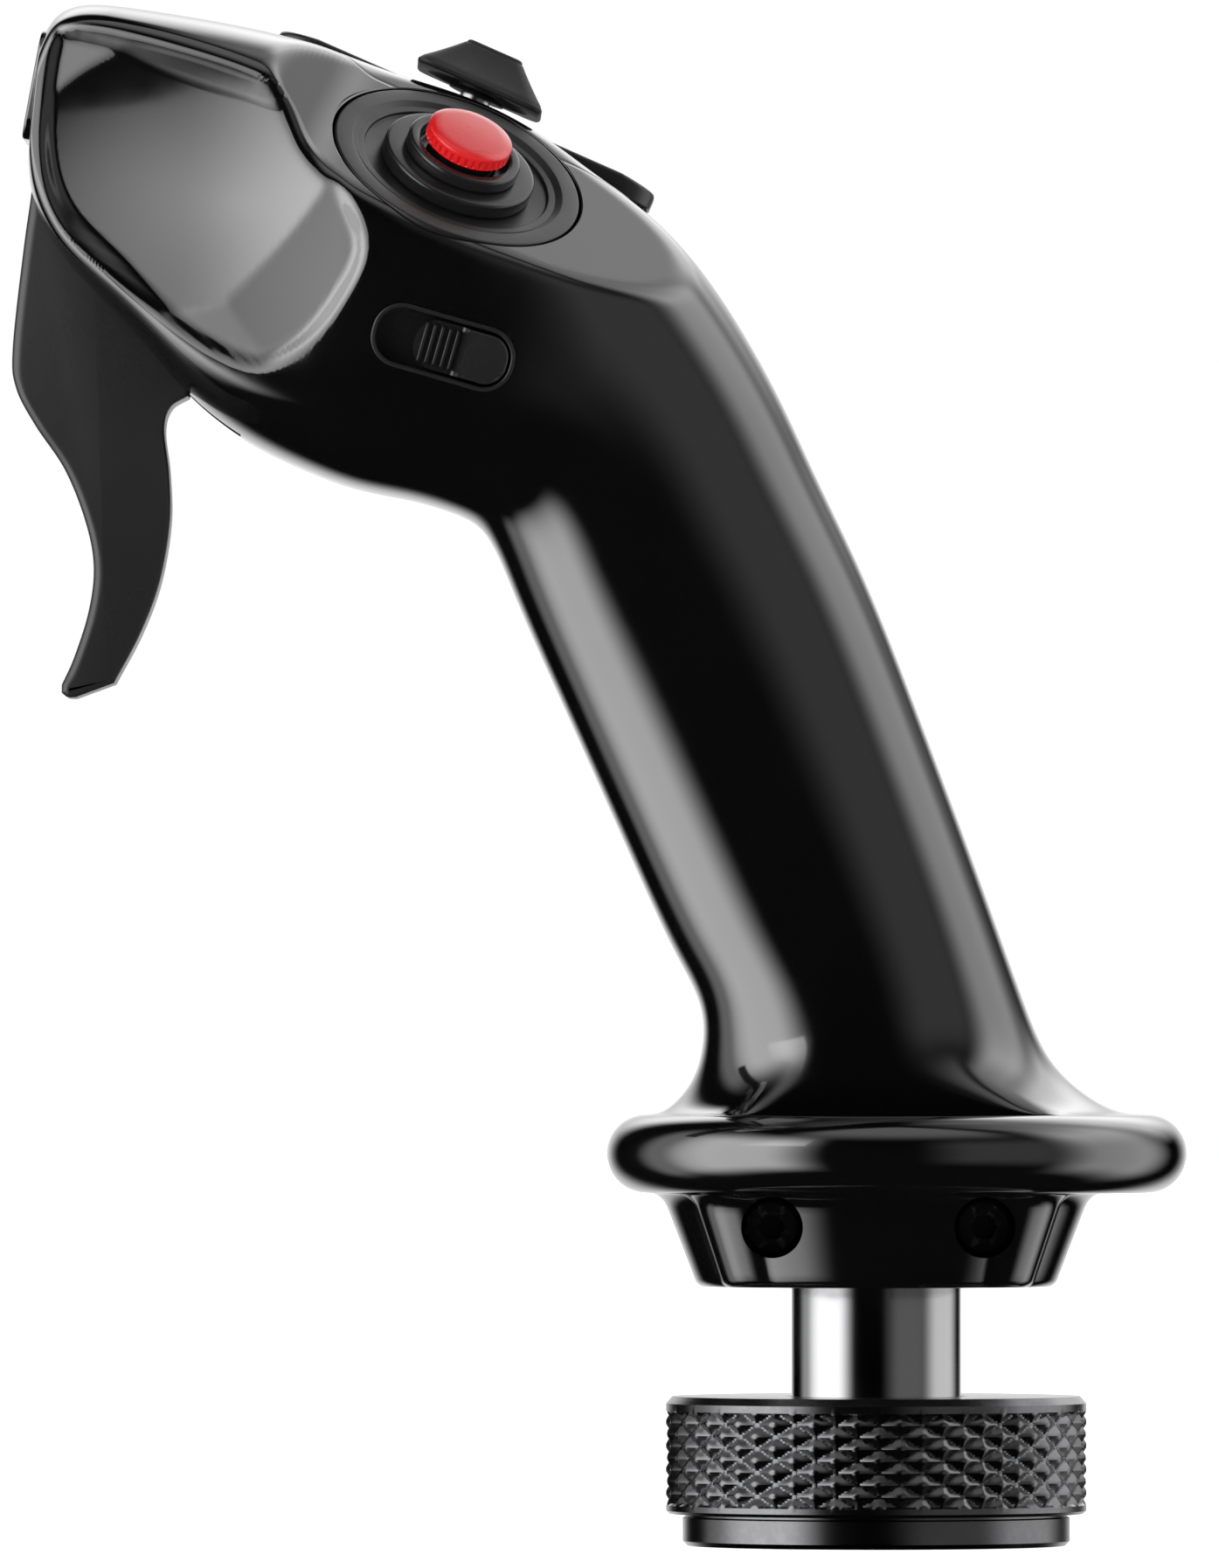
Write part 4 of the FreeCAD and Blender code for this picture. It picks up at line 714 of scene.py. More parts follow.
@dataclass
class Workshop:
    """The geometry node trees that repeat a shape, each built when first asked for."""

    made: Dict[str, bpy.types.NodeTree] = field(default_factory=dict)

    def tree(self, name: str) -> bpy.types.NodeTree:
        """The tool's tree."""
        if name not in self.made:
            self.made[name] = getattr(self, name)()
        return self.made[name]

    def apply(self, piece: bpy.types.Object, name: str, **values) -> bpy.types.Object:
        """Runs a tool on a piece and keeps the result as a plain mesh.

        Args:
            piece: the mesh that the tool starts from.
            name: the tool.
            values: its inputs, with underscores for spaces.

        Returns:
            The same object with its new mesh.
        """
        tree = self.tree(name)
        modifier = piece.modifiers.new(name, "NODES")
        modifier.node_group = tree
        for item in tree.interface.items_tree:
            if item.item_type == "SOCKET" and item.in_out == "INPUT" and item.name.replace(" ", "_") in values:
                modifier[item.identifier] = values[item.name.replace(" ", "_")]
        return baked(piece)

    @staticmethod
    def _finish(wiring: Wiring, given: bpy.types.Node, out: bpy.types.Node,
                geometry: Socket) -> bpy.types.NodeTree:
        """Ends a tool's tree: the geometry made real and given the material."""
        real = wiring.add("GeometryNodeRealizeInstances")
        paint = wiring.add("GeometryNodeSetMaterial")
        wiring.join(geometry, real.inputs["Geometry"])
        wiring.join(real.outputs["Geometry"], paint.inputs["Geometry"])
        wiring.join(given.outputs["Material"], paint.inputs["Material"])
        wiring.join(paint.outputs["Geometry"], out.inputs["Geometry"])
        return wiring.tree

    @staticmethod
    def _around(wiring: Wiring) -> Tuple[bpy.types.Node, Socket, Socket]:
        """The position's parts, its turn about Z as a share of a full turn, and the outward direction."""
        where = wiring.add("GeometryNodeInputPosition").outputs[0]
        parts = wiring.add("ShaderNodeSeparateXYZ")
        wiring.join(where, parts.inputs[0])
        turn = wiring.maths("DIVIDE", wiring.maths("ARCTAN2", parts.outputs["Y"], parts.outputs["X"]),
                            2 * math.pi)
        flat = wiring.add("ShaderNodeCombineXYZ")
        wiring.join(parts.outputs["X"], flat.inputs["X"])
        wiring.join(parts.outputs["Y"], flat.inputs["Y"])
        outward = wiring.add("ShaderNodeVectorMath", operation="NORMALIZE")
        wiring.join(flat.outputs[0], outward.inputs[0])
        return parts, turn, outward.outputs[0]

    @staticmethod
    def _pushed(wiring: Wiring, given: bpy.types.Node, outward: Socket, amount: Socket) -> Socket:
        """The geometry with each point moved outwards by the amount."""
        push = wiring.add("ShaderNodeVectorMath", operation="SCALE")
        wiring.join(outward, push.inputs[0])
        wiring.join(amount, push.inputs["Scale"])
        moved = wiring.add("GeometryNodeSetPosition")
        wiring.join(given.outputs["Geometry"], moved.inputs["Geometry"])
        wiring.join(push.outputs[0], moved.inputs["Offset"])
        return moved.outputs[0]

    @staticmethod
    def _within(wiring: Wiring, given: bpy.types.Node, height: Socket) -> Socket:
        """1 between the inputs Bottom and Top, and 0 elsewhere."""
        return wiring.maths("MULTIPLY", wiring.maths("GREATER_THAN", height, given.outputs["Bottom"]),
                            wiring.maths("LESS_THAN", height, given.outputs["Top"]))

    def diamond_knurl(self) -> bpy.types.NodeTree:
        """Crossed grooves that leave rows of diamonds on a band of a turned piece."""
        names = {"Geometry": GEOMETRY, "Teeth": "NodeSocketInt", "Pitch": FLOAT, "Depth": FLOAT,
                 "Bottom": FLOAT, "Top": FLOAT, "Material": "NodeSocketMaterial"}
        wiring, given, out = new_group("diamond_knurl", "GeometryNodeTree", names, {"Geometry": GEOMETRY})
        parts, turn, outward = self._around(wiring)
        along = wiring.maths("MULTIPLY", turn, given.outputs["Teeth"])
        height = parts.outputs["Z"]
        up = wiring.maths("DIVIDE", wiring.maths("SUBTRACT", height, given.outputs["Bottom"]),
                          given.outputs["Pitch"])
        waves = [wiring.maths("MULTIPLY", wiring.maths("PINGPONG", wiring.maths(sign, along, up), 0.5), 2.0)
                 for sign in ("ADD", "SUBTRACT")]
        crest = wiring.maths("MINIMUM", wiring.maths("MINIMUM", *waves), KNURL_CREST)
        inside = self._within(wiring, given, height)
        depth = wiring.maths("MULTIPLY", wiring.maths("SUBTRACT", crest, KNURL_CREST), given.outputs["Depth"])
        return self._finish(wiring, given, out,
                            self._pushed(wiring, given, outward, wiring.maths("MULTIPLY", depth, inside)))

    def flutes(self) -> bpy.types.NodeTree:
        """Upright notches round a band of a turned piece."""
        names = {"Geometry": GEOMETRY, "Count": "NodeSocketInt", "Depth": FLOAT, "Bottom": FLOAT, "Top": FLOAT,
                 "Material": "NodeSocketMaterial"}
        wiring, given, out = new_group("flutes", "GeometryNodeTree", names, {"Geometry": GEOMETRY})
        parts, turn, outward = self._around(wiring)
        wave = wiring.maths("PINGPONG", wiring.maths("MULTIPLY", turn, given.outputs["Count"]), 0.5)
        groove = wiring.ranged(wave, 0.0, FLUTE_SHARE, -1.0, 0.0, True)
        inside = self._within(wiring, given, parts.outputs["Z"])
        depth = wiring.maths("MULTIPLY", wiring.maths("MULTIPLY", groove, inside), given.outputs["Depth"])
        return self._finish(wiring, given, out, self._pushed(wiring, given, outward, depth))

    def fasteners(self) -> bpy.types.NodeTree:
        """One fastener on each point, turned towards a direction."""
        names = {"Geometry": GEOMETRY, "Fastener": "NodeSocketObject", "Direction": VECTOR,
                 "Material": "NodeSocketMaterial"}
        wiring, given, out = new_group("fasteners", "GeometryNodeTree", names, {"Geometry": GEOMETRY})
        info = wiring.add("GeometryNodeObjectInfo")
        wiring.join(given.outputs["Fastener"], info.inputs["Object"])
        aim = wiring.add("FunctionNodeAlignRotationToVector", axis="Z")
        wiring.join(given.outputs["Direction"], aim.inputs["Vector"])
        copies = wiring.add("GeometryNodeInstanceOnPoints")
        wiring.join(given.outputs["Geometry"], copies.inputs["Points"])
        wiring.join(info.outputs["Geometry"], copies.inputs["Instance"])
        wiring.join(aim.outputs[0], copies.inputs["Rotation"])
        return self._finish(wiring, given, out, copies.outputs[0])

    def ridges(self) -> bpy.types.NodeTree:
        """A row of equal bars along X."""
        names = {"Geometry": GEOMETRY, "Count": "NodeSocketInt", "Pitch": FLOAT,
                 "Material": "NodeSocketMaterial"}
        wiring, given, out = new_group("ridges", "GeometryNodeTree", names, {"Geometry": GEOMETRY})
        line = wiring.add("GeometryNodeMeshLine")
        step = wiring.add("ShaderNodeCombineXYZ")
        wiring.join(given.outputs["Pitch"], step.inputs["X"])
        wiring.join(given.outputs["Count"], line.inputs["Count"])
        wiring.join(step.outputs[0], line.inputs["Offset"])
        copies = wiring.add("GeometryNodeInstanceOnPoints")
        wiring.join(line.outputs[0], copies.inputs["Points"])
        wiring.join(given.outputs["Geometry"], copies.inputs["Instance"])
        return self._finish(wiring, given, out, copies.outputs[0])


WORKSHOP = Workshop()


# ------------------------------------------------------------------ places that several assemblies share
CASE_SCREWS: Tuple[Point, ...] = ((-85.0, 179.4), (-66.0, 141.0), (-24.6, 150.1), (-29.2, 98.5))
TRIGGER_PIVOT: Point = (-97.0, 166.0)
CLAMP_X, CLAMP_Z = 13.3, 40.2
PLATE_SCREW_X = 19.5
PLATE_SCREW_SINK = 0.25
TUBE_RADIUS = 10.7
CROSS_PIN_RADIUS, CROSS_PIN_Z = 1.5, 50.0


# ------------------------------------------------------------------ the two shells
def smooth_least(a: Array, b: Array, blend: float) -> Array:
    """The lesser of two fields, rounded over where they meet."""
    share = np.clip(0.5 + 0.5 * (b - a) / blend, 0, 1)
    return b * (1 - share) + a * share - blend * share * (1 - share)


def smooth_most(a: Array, b: Array, blend: float) -> Array:
    """The greater of two fields, rounded over where they meet."""
    return -smooth_least(-a, -b, blend)


@dataclass
class NoseDish:
    """The shallow two-lobed dish in each side of the nose.

    A lobe is its middle x and z, its half axes, its lean in degrees and its depth.
    """

    face: Tuple[float, float, float] = (-62.3, 25.2, 159.0)
    toe: float = math.radians(13.6)
    outline: Tuple[Point, ...] = ((-101.3, 191.2), (-88.0, 187.9), (-76.0, 184.0), (-70.2, 178.7),
                                  (-66.0, 170.5), (-63.6, 162.4), (-67.2, 154.8), (-72.6, 149.2), (-79.0, 147.2),
                                  (-88.6, 152.2), (-96.0, 158.6), (-102.8, 166.0), (-105.2, 175.5),
                                  (-104.0, 188.4))
    rim_width: float = 2.0
    rim_depth: float = 0.75
    lobes: Tuple[Tuple[float, float, float, float, float, float], ...] = (
        (-88.0, 172.0, 21.0, 17.5, 20.0, 2.1), (-70.5, 160.0, 12.0, 16.0, 28.0, 0.6))

    def depth(self, x: Array, z: Array) -> Array:
        """How deep the dish is at points of the side view."""
        line = through(self.outline, 6, closed=True)
        start, run = line, np.roll(line, -1, axis=0) - line
        spots = np.stack([x, z], axis=-1)[..., None, :] - start
        share = np.clip((spots * run).sum(-1) / (run * run).sum(-1), 0, 1)
        away = np.sqrt(((spots - share[..., None] * run) ** 2).sum(-1)).min(-1)
        above = (start[:, 1] > z[..., None]) != (np.roll(start, -1, axis=0)[:, 1] > z[..., None])
        rise = np.where(run[:, 1] == 0, 1e-9, run[:, 1])
        cross = start[:, 0] + (z[..., None] - start[:, 1]) * run[:, 0] / rise
        inside = (np.logical_and(above, x[..., None] < cross).sum(-1) % 2) == 1
        rim = np.clip(away / self.rim_width, 0, 1)
        rim = np.where(inside, rim * rim * (3 - 2 * rim), 0.0)
        bowl = np.zeros_like(x)
        for middle_x, middle_z, half_x, half_z, lean, deep in self.lobes:
            angle = math.radians(lean)
            along = (x - middle_x) * math.cos(angle) + (z - middle_z) * math.sin(angle)
            across = -(x - middle_x) * math.sin(angle) + (z - middle_z) * math.cos(angle)
            radial = np.clip((along / half_x) ** 2 + (across / half_z) ** 2, 0, 1)
            bowl = np.maximum(bowl, deep * (1 - radial))
        return rim * (self.rim_depth + bowl)

    def plane(self, points: Array) -> Array:
        """How far points lie outside the nearer side's flat."""
        face_x, face_y, _ = self.face
        return -(points[..., 0] - face_x) * math.sin(self.toe) + (
            np.abs(points[..., 1]) - face_y) * math.cos(self.toe)


@dataclass
class Shells:
    """The two moulded halves: collar, hand rest, grip and head, with every opening cut and the inside hollow."""

    fire: Seat
    hat: Seat
    slide: Seat
    nose: Seat
    columns: int = 384
    row_step: float = 0.56
    seam_crowding: float = 0.6
    seam_depth: float = 0.10
    seam_width: float = 0.17
    collar: Tuple[float, float] = (32.6, 44.4)
    collar_foot: Tuple[float, float, float] = (19.3, 17.6, 6.0)
    collar_head: Tuple[float, float, float] = (23.2, 21.4, 7.5)
    collar_edge: float = 0.9
    collar_fillet: float = 1.8
    rest_radius: float = 36.5
    rest_offset: float = 2.6
    rest_roll: float = 4.9
    nose_round: float = 1.3
    wall: float = 2.8
    pad: Tuple[float, float, float] = (17.4, 22.0, 9.0)
    brow_x: float = -16.8
    brow_rise: float = 38.0
    plate_half: Tuple[float, float, float] = (25.9, 7.5, 5.0)
    # how widely the head's forms run into each other
    pad_blend: float = 3.0
    plinth_blend: float = 0.8
    brow_blend: float = 2.0
    fire_blend: float = 1.2
    slide_blend: float = 2.5
    dish_blend: float = 1.6
    # holes through the shells: half sizes and corners, radii, or two corners of a box
    ring_hole: float = 16.6
    hat_hole: RoundedRectangle = RoundedRectangle(8.2, 7.2, 1.5)
    slide_hole: RoundedRectangle = RoundedRectangle(9.25, 4.15, 3.85, 12)
    nose_hole: RoundedRectangle = RoundedRectangle(7.0, 11.5, 3.0)
    nose_inset: float = 1.5
    trigger_slot: Tuple[Corner, Corner] = ((-114, -7.1, 137.4), (-80, 7.1, 175.4))
    switch_recess: Tuple[Corner, Corner] = ((-81.5, -6.7, 141.4), (-73.5, 6.7, 155.6))
    pivot_hole: float = 1.5
    clamp_shank: float = 2.0
    clamp_head: float = 3.85
    clamp_nut: float = 4.2
    clamp_face: float = 19.2
    plate_pilot: float = 1.0
    case_pilot: float = 1.2
    case_head: float = 3.1
    case_seat: float = 12.0
    # the hollow: its front wall, the well round the tube's head, and the screw bosses left in it
    hollow_front: float = -78.0
    well: Tuple[float, float, float] = (14.0, 58.0, 72.0)
    boss: float = 3.4
    # front point x, z, rear point x, z, half width and squareness of each section, hand rest to nose
    sections: Tuple[Tuple[float, ...], ...] = (
        (-29.0, 54.2, 34.2, 54.2, 31.6, 2.00), (-27.0, 54.6, 31.0, 54.5, 27.6, 2.08),
        (-23.9, 57.4, 26.0, 57.0, 23.2, 2.15), (-22.2, 61.2, 21.8, 61.3, 20.2, 2.20),
        (-21.8, 66.1, 18.7, 68.1, 18.6, 2.25), (-25.0, 74.1, 13.3, 83.1, 17.8, 2.30),
        (-31.6, 88.3, 6.0, 102.7, 17.4, 2.30), (-39.8, 106.6, -2.1, 123.0, 17.6, 2.30),
        (-45.6, 119.8, -8.4, 136.3, 18.4, 2.35), (-49.1, 127.2, -12.7, 145.4, 19.4, 2.40),
        (-52.9, 129.9, -18.1, 154.9, 20.8, 2.50), (-58.4, 131.6, -24.6, 163.6, 22.6, 2.65),
        (-65.1, 133.0, -33.5, 171.6, 24.4, 2.80), (-72.8, 135.8, -45.9, 179.5, 25.6, 2.90),
        (-80.1, 139.6, -58.8, 185.1, 26.0, 3.00), (-87.2, 145.4, -71.7, 189.3, 25.8, 3.00),
        (-93.6, 152.7, -83.5, 191.9, 25.0, 3.00), (-99.3, 158.5, -92.9, 193.4, 23.8, 3.00),
        (-103.7, 163.8, -99.9, 193.85, 22.0, 2.90), (-106.0, 168.9, -103.3, 192.3, 19.5, 2.80),
        (-106.7, 173.4, -105.2, 189.1, 16.0, 2.60))
    cavity_sections: Tuple[int, int] = (4, 16)
    dish: NoseDish = field(default_factory=NoseDish)

    def angles(self, columns: int, crowding: float) -> Array:
        """The columns' polar angles, crowded together towards the parting line."""
        even = np.arange(columns) * 2 * math.pi / columns
        return even - crowding / 2 * np.sin(2 * even)

    def knots(self) -> Array:
        """How far along the shell each section lies, from the mean travel of its front, rear and side."""
        rows = np.array(self.sections)
        steps = [np.linalg.norm(np.diff(rows[:, pair], axis=0), axis=1) for pair in ([0, 1], [2, 3])]
        steps.append(np.abs(np.diff(rows[:, 4])))
        return np.concatenate([[0.0], np.cumsum((steps[0] + steps[1]) / 2 + steps[2] * 0.5)])

    def rays(self, at: Array, angle: Array) -> Tuple[Array, Array, Array]:
        """For each section wanted: its middle, the directions of its columns and the radius along each."""
        rows = natural_spline(self.knots(), np.array(self.sections), at)
        front = np.column_stack([rows[:, 0], np.zeros(len(rows)), rows[:, 1]])
        rear = np.column_stack([rows[:, 2], np.zeros(len(rows)), rows[:, 3]])
        middle, across = (front + rear) / 2, rear - front
        depth = np.linalg.norm(across, axis=1) / 2
        across = across / (2 * depth[:, None])
        aside = np.array((0.0, 1.0, 0.0))
        rays = np.cos(angle)[None, :, None] * across[:, None, :] + np.sin(angle)[None, :, None] * aside
        power = rows[:, 5][:, None]
        radius = (np.abs(np.cos(angle)[None] / depth[:, None]) ** power
                  + np.abs(np.sin(angle)[None] / rows[:, 4][:, None]) ** power) ** (-1 / power)
        return middle, rays, radius

    def head_field(self, points: Array, reach: Array, radius: Array, dish: Array, inset: float) -> Array:
        """How far outside the head's form points lie: the skin, its pads and its flats, blended."""
        pad_top, pad_foot, pad_depth = self.pad
        skin = reach - (radius - inset)
        at_fire, at_hat, at_slide = (seat.local(points) for seat in (self.fire, self.hat, self.slide))
        flare = (pad_foot - pad_top) / pad_depth
        lateral = np.hypot(at_fire[..., 0], at_fire[..., 1]) - (pad_top - inset) + at_fire[..., 2] * flare
        pad = np.maximum(lateral / math.hypot(1, flare), -pad_depth - at_fire[..., 2])
        form = smooth_least(skin, pad, self.pad_blend)
        half_x, half_y, corner = self.plate_half
        over = np.stack([np.abs(at_hat[..., 0]) - (half_x - corner - inset),
                         np.abs(at_hat[..., 1]) - (half_y - corner - inset)], axis=-1)
        plinth = np.linalg.norm(np.maximum(over, 0), axis=-1) + np.minimum(over.max(-1), 0) - corner
        standing = np.maximum(plinth, np.maximum(-6.0 - at_hat[..., 2], at_hat[..., 2] + inset))
        form = smooth_least(form, standing, self.plinth_blend)
        lean = math.radians(self.brow_rise)
        above = at_fire[..., 2] + inset * 1.2
        brow = above * math.cos(lean) + (at_fire[..., 0] - self.brow_x) * math.sin(lean)
        form = smooth_most(form, smooth_least(above, brow, self.brow_blend), self.fire_blend)
        form = np.maximum(form, -np.maximum(plinth, -inset - at_hat[..., 2]))
        form = smooth_most(form, at_slide[..., 2] + inset, self.slide_blend)
        return smooth_most(form, self.dish.plane(points) + dish + inset * 1.5, self.dish_blend)

    def reach(self, middle: Array, rays: Array, radius: Array, dish: Array, inset: float) -> Array:
        """How far along each ray the head's form ends, by bisection."""
        near, far = np.zeros_like(radius), radius * 1.5 + 6
        for _ in range(24):
            half = (near + far) / 2
            points = middle[:, None, :] + rays * half[..., None]
            outside = self.head_field(points, half, radius, dish, inset) > 0
            near, far = np.where(outside, near, half), np.where(outside, half, far)
        return near

    def surface(self, at: Array, angle: Array, inset: float = 0.0) -> Array:
        """Points of the shell's surface by row and column; with an inset, of the plainer wall inside it."""
        middle, rays, radius = self.rays(at, angle)
        dish = np.zeros_like(radius)
        reach = self.reach(middle, rays, radius, dish, inset)
        if inset == 0:
            points = middle[:, None, :] + rays * reach[..., None]
            look = (points[..., 0] < -60) & (np.abs(self.dish.plane(points)) < 6)
            dish[look] = self.dish.depth(points[..., 0][look], points[..., 2][look])
            reach = self.reach(middle, rays, radius, dish, inset)
            off_seam = np.abs(reach * np.sin(angle))
            reach = reach - self.seam_depth * np.exp(-(off_seam / self.seam_width) ** 2)
            left = np.clip(self.nose_round - (at[-1] - at), 0, self.nose_round)
            reach = reach - (self.nose_round - np.sqrt(self.nose_round ** 2 - left ** 2))[:, None]
        return middle[:, None, :] + rays * reach[..., None]

    def foot_rings(self, angle: Array) -> List[Array]:
        """The collar and the rolled rim of the hand rest, from the bottom up."""
        low, high = self.collar
        foot, head = np.array(self.collar_foot), np.array(self.collar_head)
        edge, fillet = self.collar_edge, self.collar_fillet

        def collar_ring(grow: float, height: float) -> Array:
            """The collar's outline at a height, at the shells' own polar angles."""
            half_x, half_y, corner = foot + (head - foot) * (height - low) / (high - low)
            outline = RoundedRectangle(half_x, half_y, corner, 24).ring(grow)
            turns = np.unwrap(np.arctan2(outline[:, 1], outline[:, 0]))
            order = np.argsort(turns % (2 * math.pi))
            sizes = np.hypot(outline[:, 0], outline[:, 1])[order]
            radius = np.interp(angle, (turns % (2 * math.pi))[order], sizes, period=2 * math.pi)
            return level_ring(np.column_stack([radius * np.cos(angle), radius * np.sin(angle)]), height)

        def rest_ring(radius: float, height: float) -> Array:
            """A circle of the hand rest at a height."""
            return level_ring(np.column_stack([self.rest_offset + radius * np.cos(angle),
                                               radius * np.sin(angle)]), height)

        rings = [collar_ring(-drop, low + inset) for inset, drop in quarter_round(edge, 7)]
        rings += [collar_ring(0, height) for height in np.linspace(low + edge, high - fillet, 12)[1:-1]]
        rings += [collar_ring(inset, high - drop) for inset, drop in quarter_round(fillet, 7)]
        inner, middle = self.rest_radius - self.rest_roll, high + self.rest_roll
        last, first = rings[-1], rest_ring(inner, high)
        rings += [last + (first - last) * share for share in (0.33, 0.66)]
        for a in np.linspace(-math.pi / 2, math.pi / 2, 27)[:-1]:
            rings.append(rest_ring(inner + self.rest_roll * math.cos(a), middle + self.rest_roll * math.sin(a)))
        return rings

    def outer(self) -> bpy.types.Object:
        """The closed outer form of both halves together."""
        angle = self.angles(self.columns, self.seam_crowding)
        length = self.knots()[-1]
        rows = np.linspace(0, length - self.nose_round, int(length / self.row_step))
        at = np.concatenate([rows, length - self.nose_round * (1 - np.sin(np.linspace(0.2, math.pi / 2, 7)))])
        rings = np.array(self.foot_rings(angle) + list(self.surface(at, angle)))
        made = new_object("shell_form", rings.reshape(-1, 3), skin(*rings.shape[:2]))
        shade(made)
        return made

    def cavity(self) -> bpy.types.Object:
        """The hollow inside the grip and the head, less the screw bosses."""
        first, last = (self.knots()[i] for i in self.cavity_sections)
        at = np.linspace(first, last, 90)
        angle = self.angles(128, 0.0)
        hollow = stacked("hollow", self.surface(at, angle, self.wall))
        combine(hollow, box("front_wall", (-118, -40, 120), (self.hollow_front, 40, 220)), Cut.TAKE)
        radius, low, high = self.well
        combine(hollow, prism("well", Disc(radius), low, high), Cut.JOIN)
        for i, (x, z) in enumerate(CASE_SCREWS + (TRIGGER_PIVOT,)):
            combine(hollow, prism(f"boss_{i}", Disc(self.boss, 48), -30, 30, facing_y(x, 0, z, 1)), Cut.TAKE)
        return hollow

    def openings(self) -> List[bpy.types.Object]:
        """Every hole through the shells, as closed cutters."""
        pivot_x, pivot_z = TRIGGER_PIVOT
        tools = [
            prism("ring_hole", Disc(self.ring_hole, 160), -9, 6, self.fire, 0.25),
            prism("hat_hole", self.hat_hole, -12, 4, self.hat),
            prism("slide_hole", self.slide_hole, -7, 6, self.slide, 0.35),
            prism("nose_hole", self.nose_hole, -self.nose_inset, 6, self.nose),
            box("trigger_slot", *self.trigger_slot),
            box("switch_recess", *self.switch_recess),
            prism("tube_hole", Disc(TUBE_RADIUS, 128), 30, 71.6),
            prism("cross_hole", Disc(CROSS_PIN_RADIUS, 32), -15, 15, facing_y(0, 0, CROSS_PIN_Z, 1)),
            prism("pivot_hole", Disc(self.pivot_hole, 32), -12, 12, facing_y(pivot_x, 0, pivot_z, 1))]
        for side in (-1, 1):
            x, z, face = side * CLAMP_X, CLAMP_Z, self.clamp_face
            pilot = self.hat.shifted(x=PLATE_SCREW_X * side)
            tools += [prism(f"clamp_shank_{side}", Disc(self.clamp_shank, 32), -30, 30, facing_y(x, 0, z, 1)),
                      prism(f"clamp_left_{side}", Disc(self.clamp_head, 64), -9, 12, facing_y(x, -face, z, -1)),
                      prism(f"clamp_right_{side}", Disc(self.clamp_nut, 64), -9, 12, facing_y(x, face, z, 1)),
                      prism(f"plate_pilot_{side}", Disc(self.plate_pilot, 24), -5, 3, pilot)]
        for i, (x, z) in enumerate(CASE_SCREWS):
            seat = facing_y(x, 0, z, 1)
            tools += [prism(f"pilot_{i}", Disc(self.case_pilot, 24), -7, 30, seat),
                      prism(f"counterbore_{i}", Disc(self.case_head, 48), self.case_seat, 34, seat)]
        return tools

    def follow_form(self, piece: bpy.types.Object, tree: BVHTree, corners: List, normals: List) -> None:
        """Gives the piece's outer faces the uncut form's normals, so reflections run clean past the holes.

        Args:
            piece: one half with its holes cut.
            tree: the uncut form's faces.
            corners: each face's corner points, or None for its flat ends.
            normals: the normals at those corners.
        """
        mesh = piece.data
        close, aligned = 0.00002, math.cos(math.radians(20))
        found: Dict[int, Vector] = {}
        for vertex in mesh.vertices:
            spot, _, face, away = tree.find_nearest(vertex.co, close)
            if face is None or corners[face] is None:
                continue
            normal = Vector()
            for weight, corner_normal in zip(poly_3d_calc(corners[face], spot), normals[face]):
                normal += corner_normal * weight
            found[vertex.index] = normal.normalized()
        loops = [(0.0, 0.0, 0.0)] * len(mesh.loops)
        for polygon in mesh.polygons:
            for loop in polygon.loop_indices:
                normal = found.get(mesh.loops[loop].vertex_index)
                if normal is not None and normal.dot(polygon.normal) > aligned:
                    loops[loop] = tuple(normal)
        mesh.normals_split_custom_set(loops)

    def build(self) -> None:
        """Builds both halves and dresses them."""
        form = self.outer()
        mesh = form.data
        points = [vertex.co.copy() for vertex in mesh.vertices]
        lean = [vertex.normal.copy() for vertex in mesh.vertices]
        faces = [tuple(polygon.vertices) for polygon in mesh.polygons]
        tree = BVHTree.FromPolygons(points, faces)
        corners = [[points[i] for i in face] if len(face) == 4 else None for face in faces]
        normals = [[lean[i] for i in face] if len(face) == 4 else None for face in faces]
        tool = self.cavity()
        for opening in self.openings():
            combine(tool, opening, Cut.JOIN)
        combine(form, tool, Cut.TAKE)
        for name, low, high in (("left", -80.0, 0.0), ("right", 0.0, 80.0)):
            half = bpy.data.objects.new(f"shell_{name}_half", form.data.copy())
            bpy.context.scene.collection.objects.link(half)
            combine(half, box("side", (-180, low, 0), (120, high, 260)), Cut.KEEP)
            self.drop_crumbs(half)
            shade(half)
            self.follow_form(half, tree, corners, normals)
            dressed(half, "grip", Slot.SHELL, [f"shell_{name}"])
        discard(form)

    @staticmethod
    def drop_crumbs(piece: bpy.types.Object) -> None:
        """Keeps only the piece's largest connected part."""
        work = bmesh.new()
        work.from_mesh(piece.data)
        unseen, parts = set(work.verts), []
        while unseen:
            front, part = [unseen.pop()], []
            while front:
                vertex = front.pop()
                part.append(vertex)
                for edge in vertex.link_edges:
                    other = edge.other_vert(vertex)
                    if other in unseen:
                        unseen.discard(other)
                        front.append(other)
            parts.append(part)
        parts.sort(key=len)
        if parts[:-1]:
            bmesh.ops.delete(work, geom=[vertex for part in parts[:-1] for vertex in part], context="VERTS")
        work.to_mesh(piece.data)
        work.free()


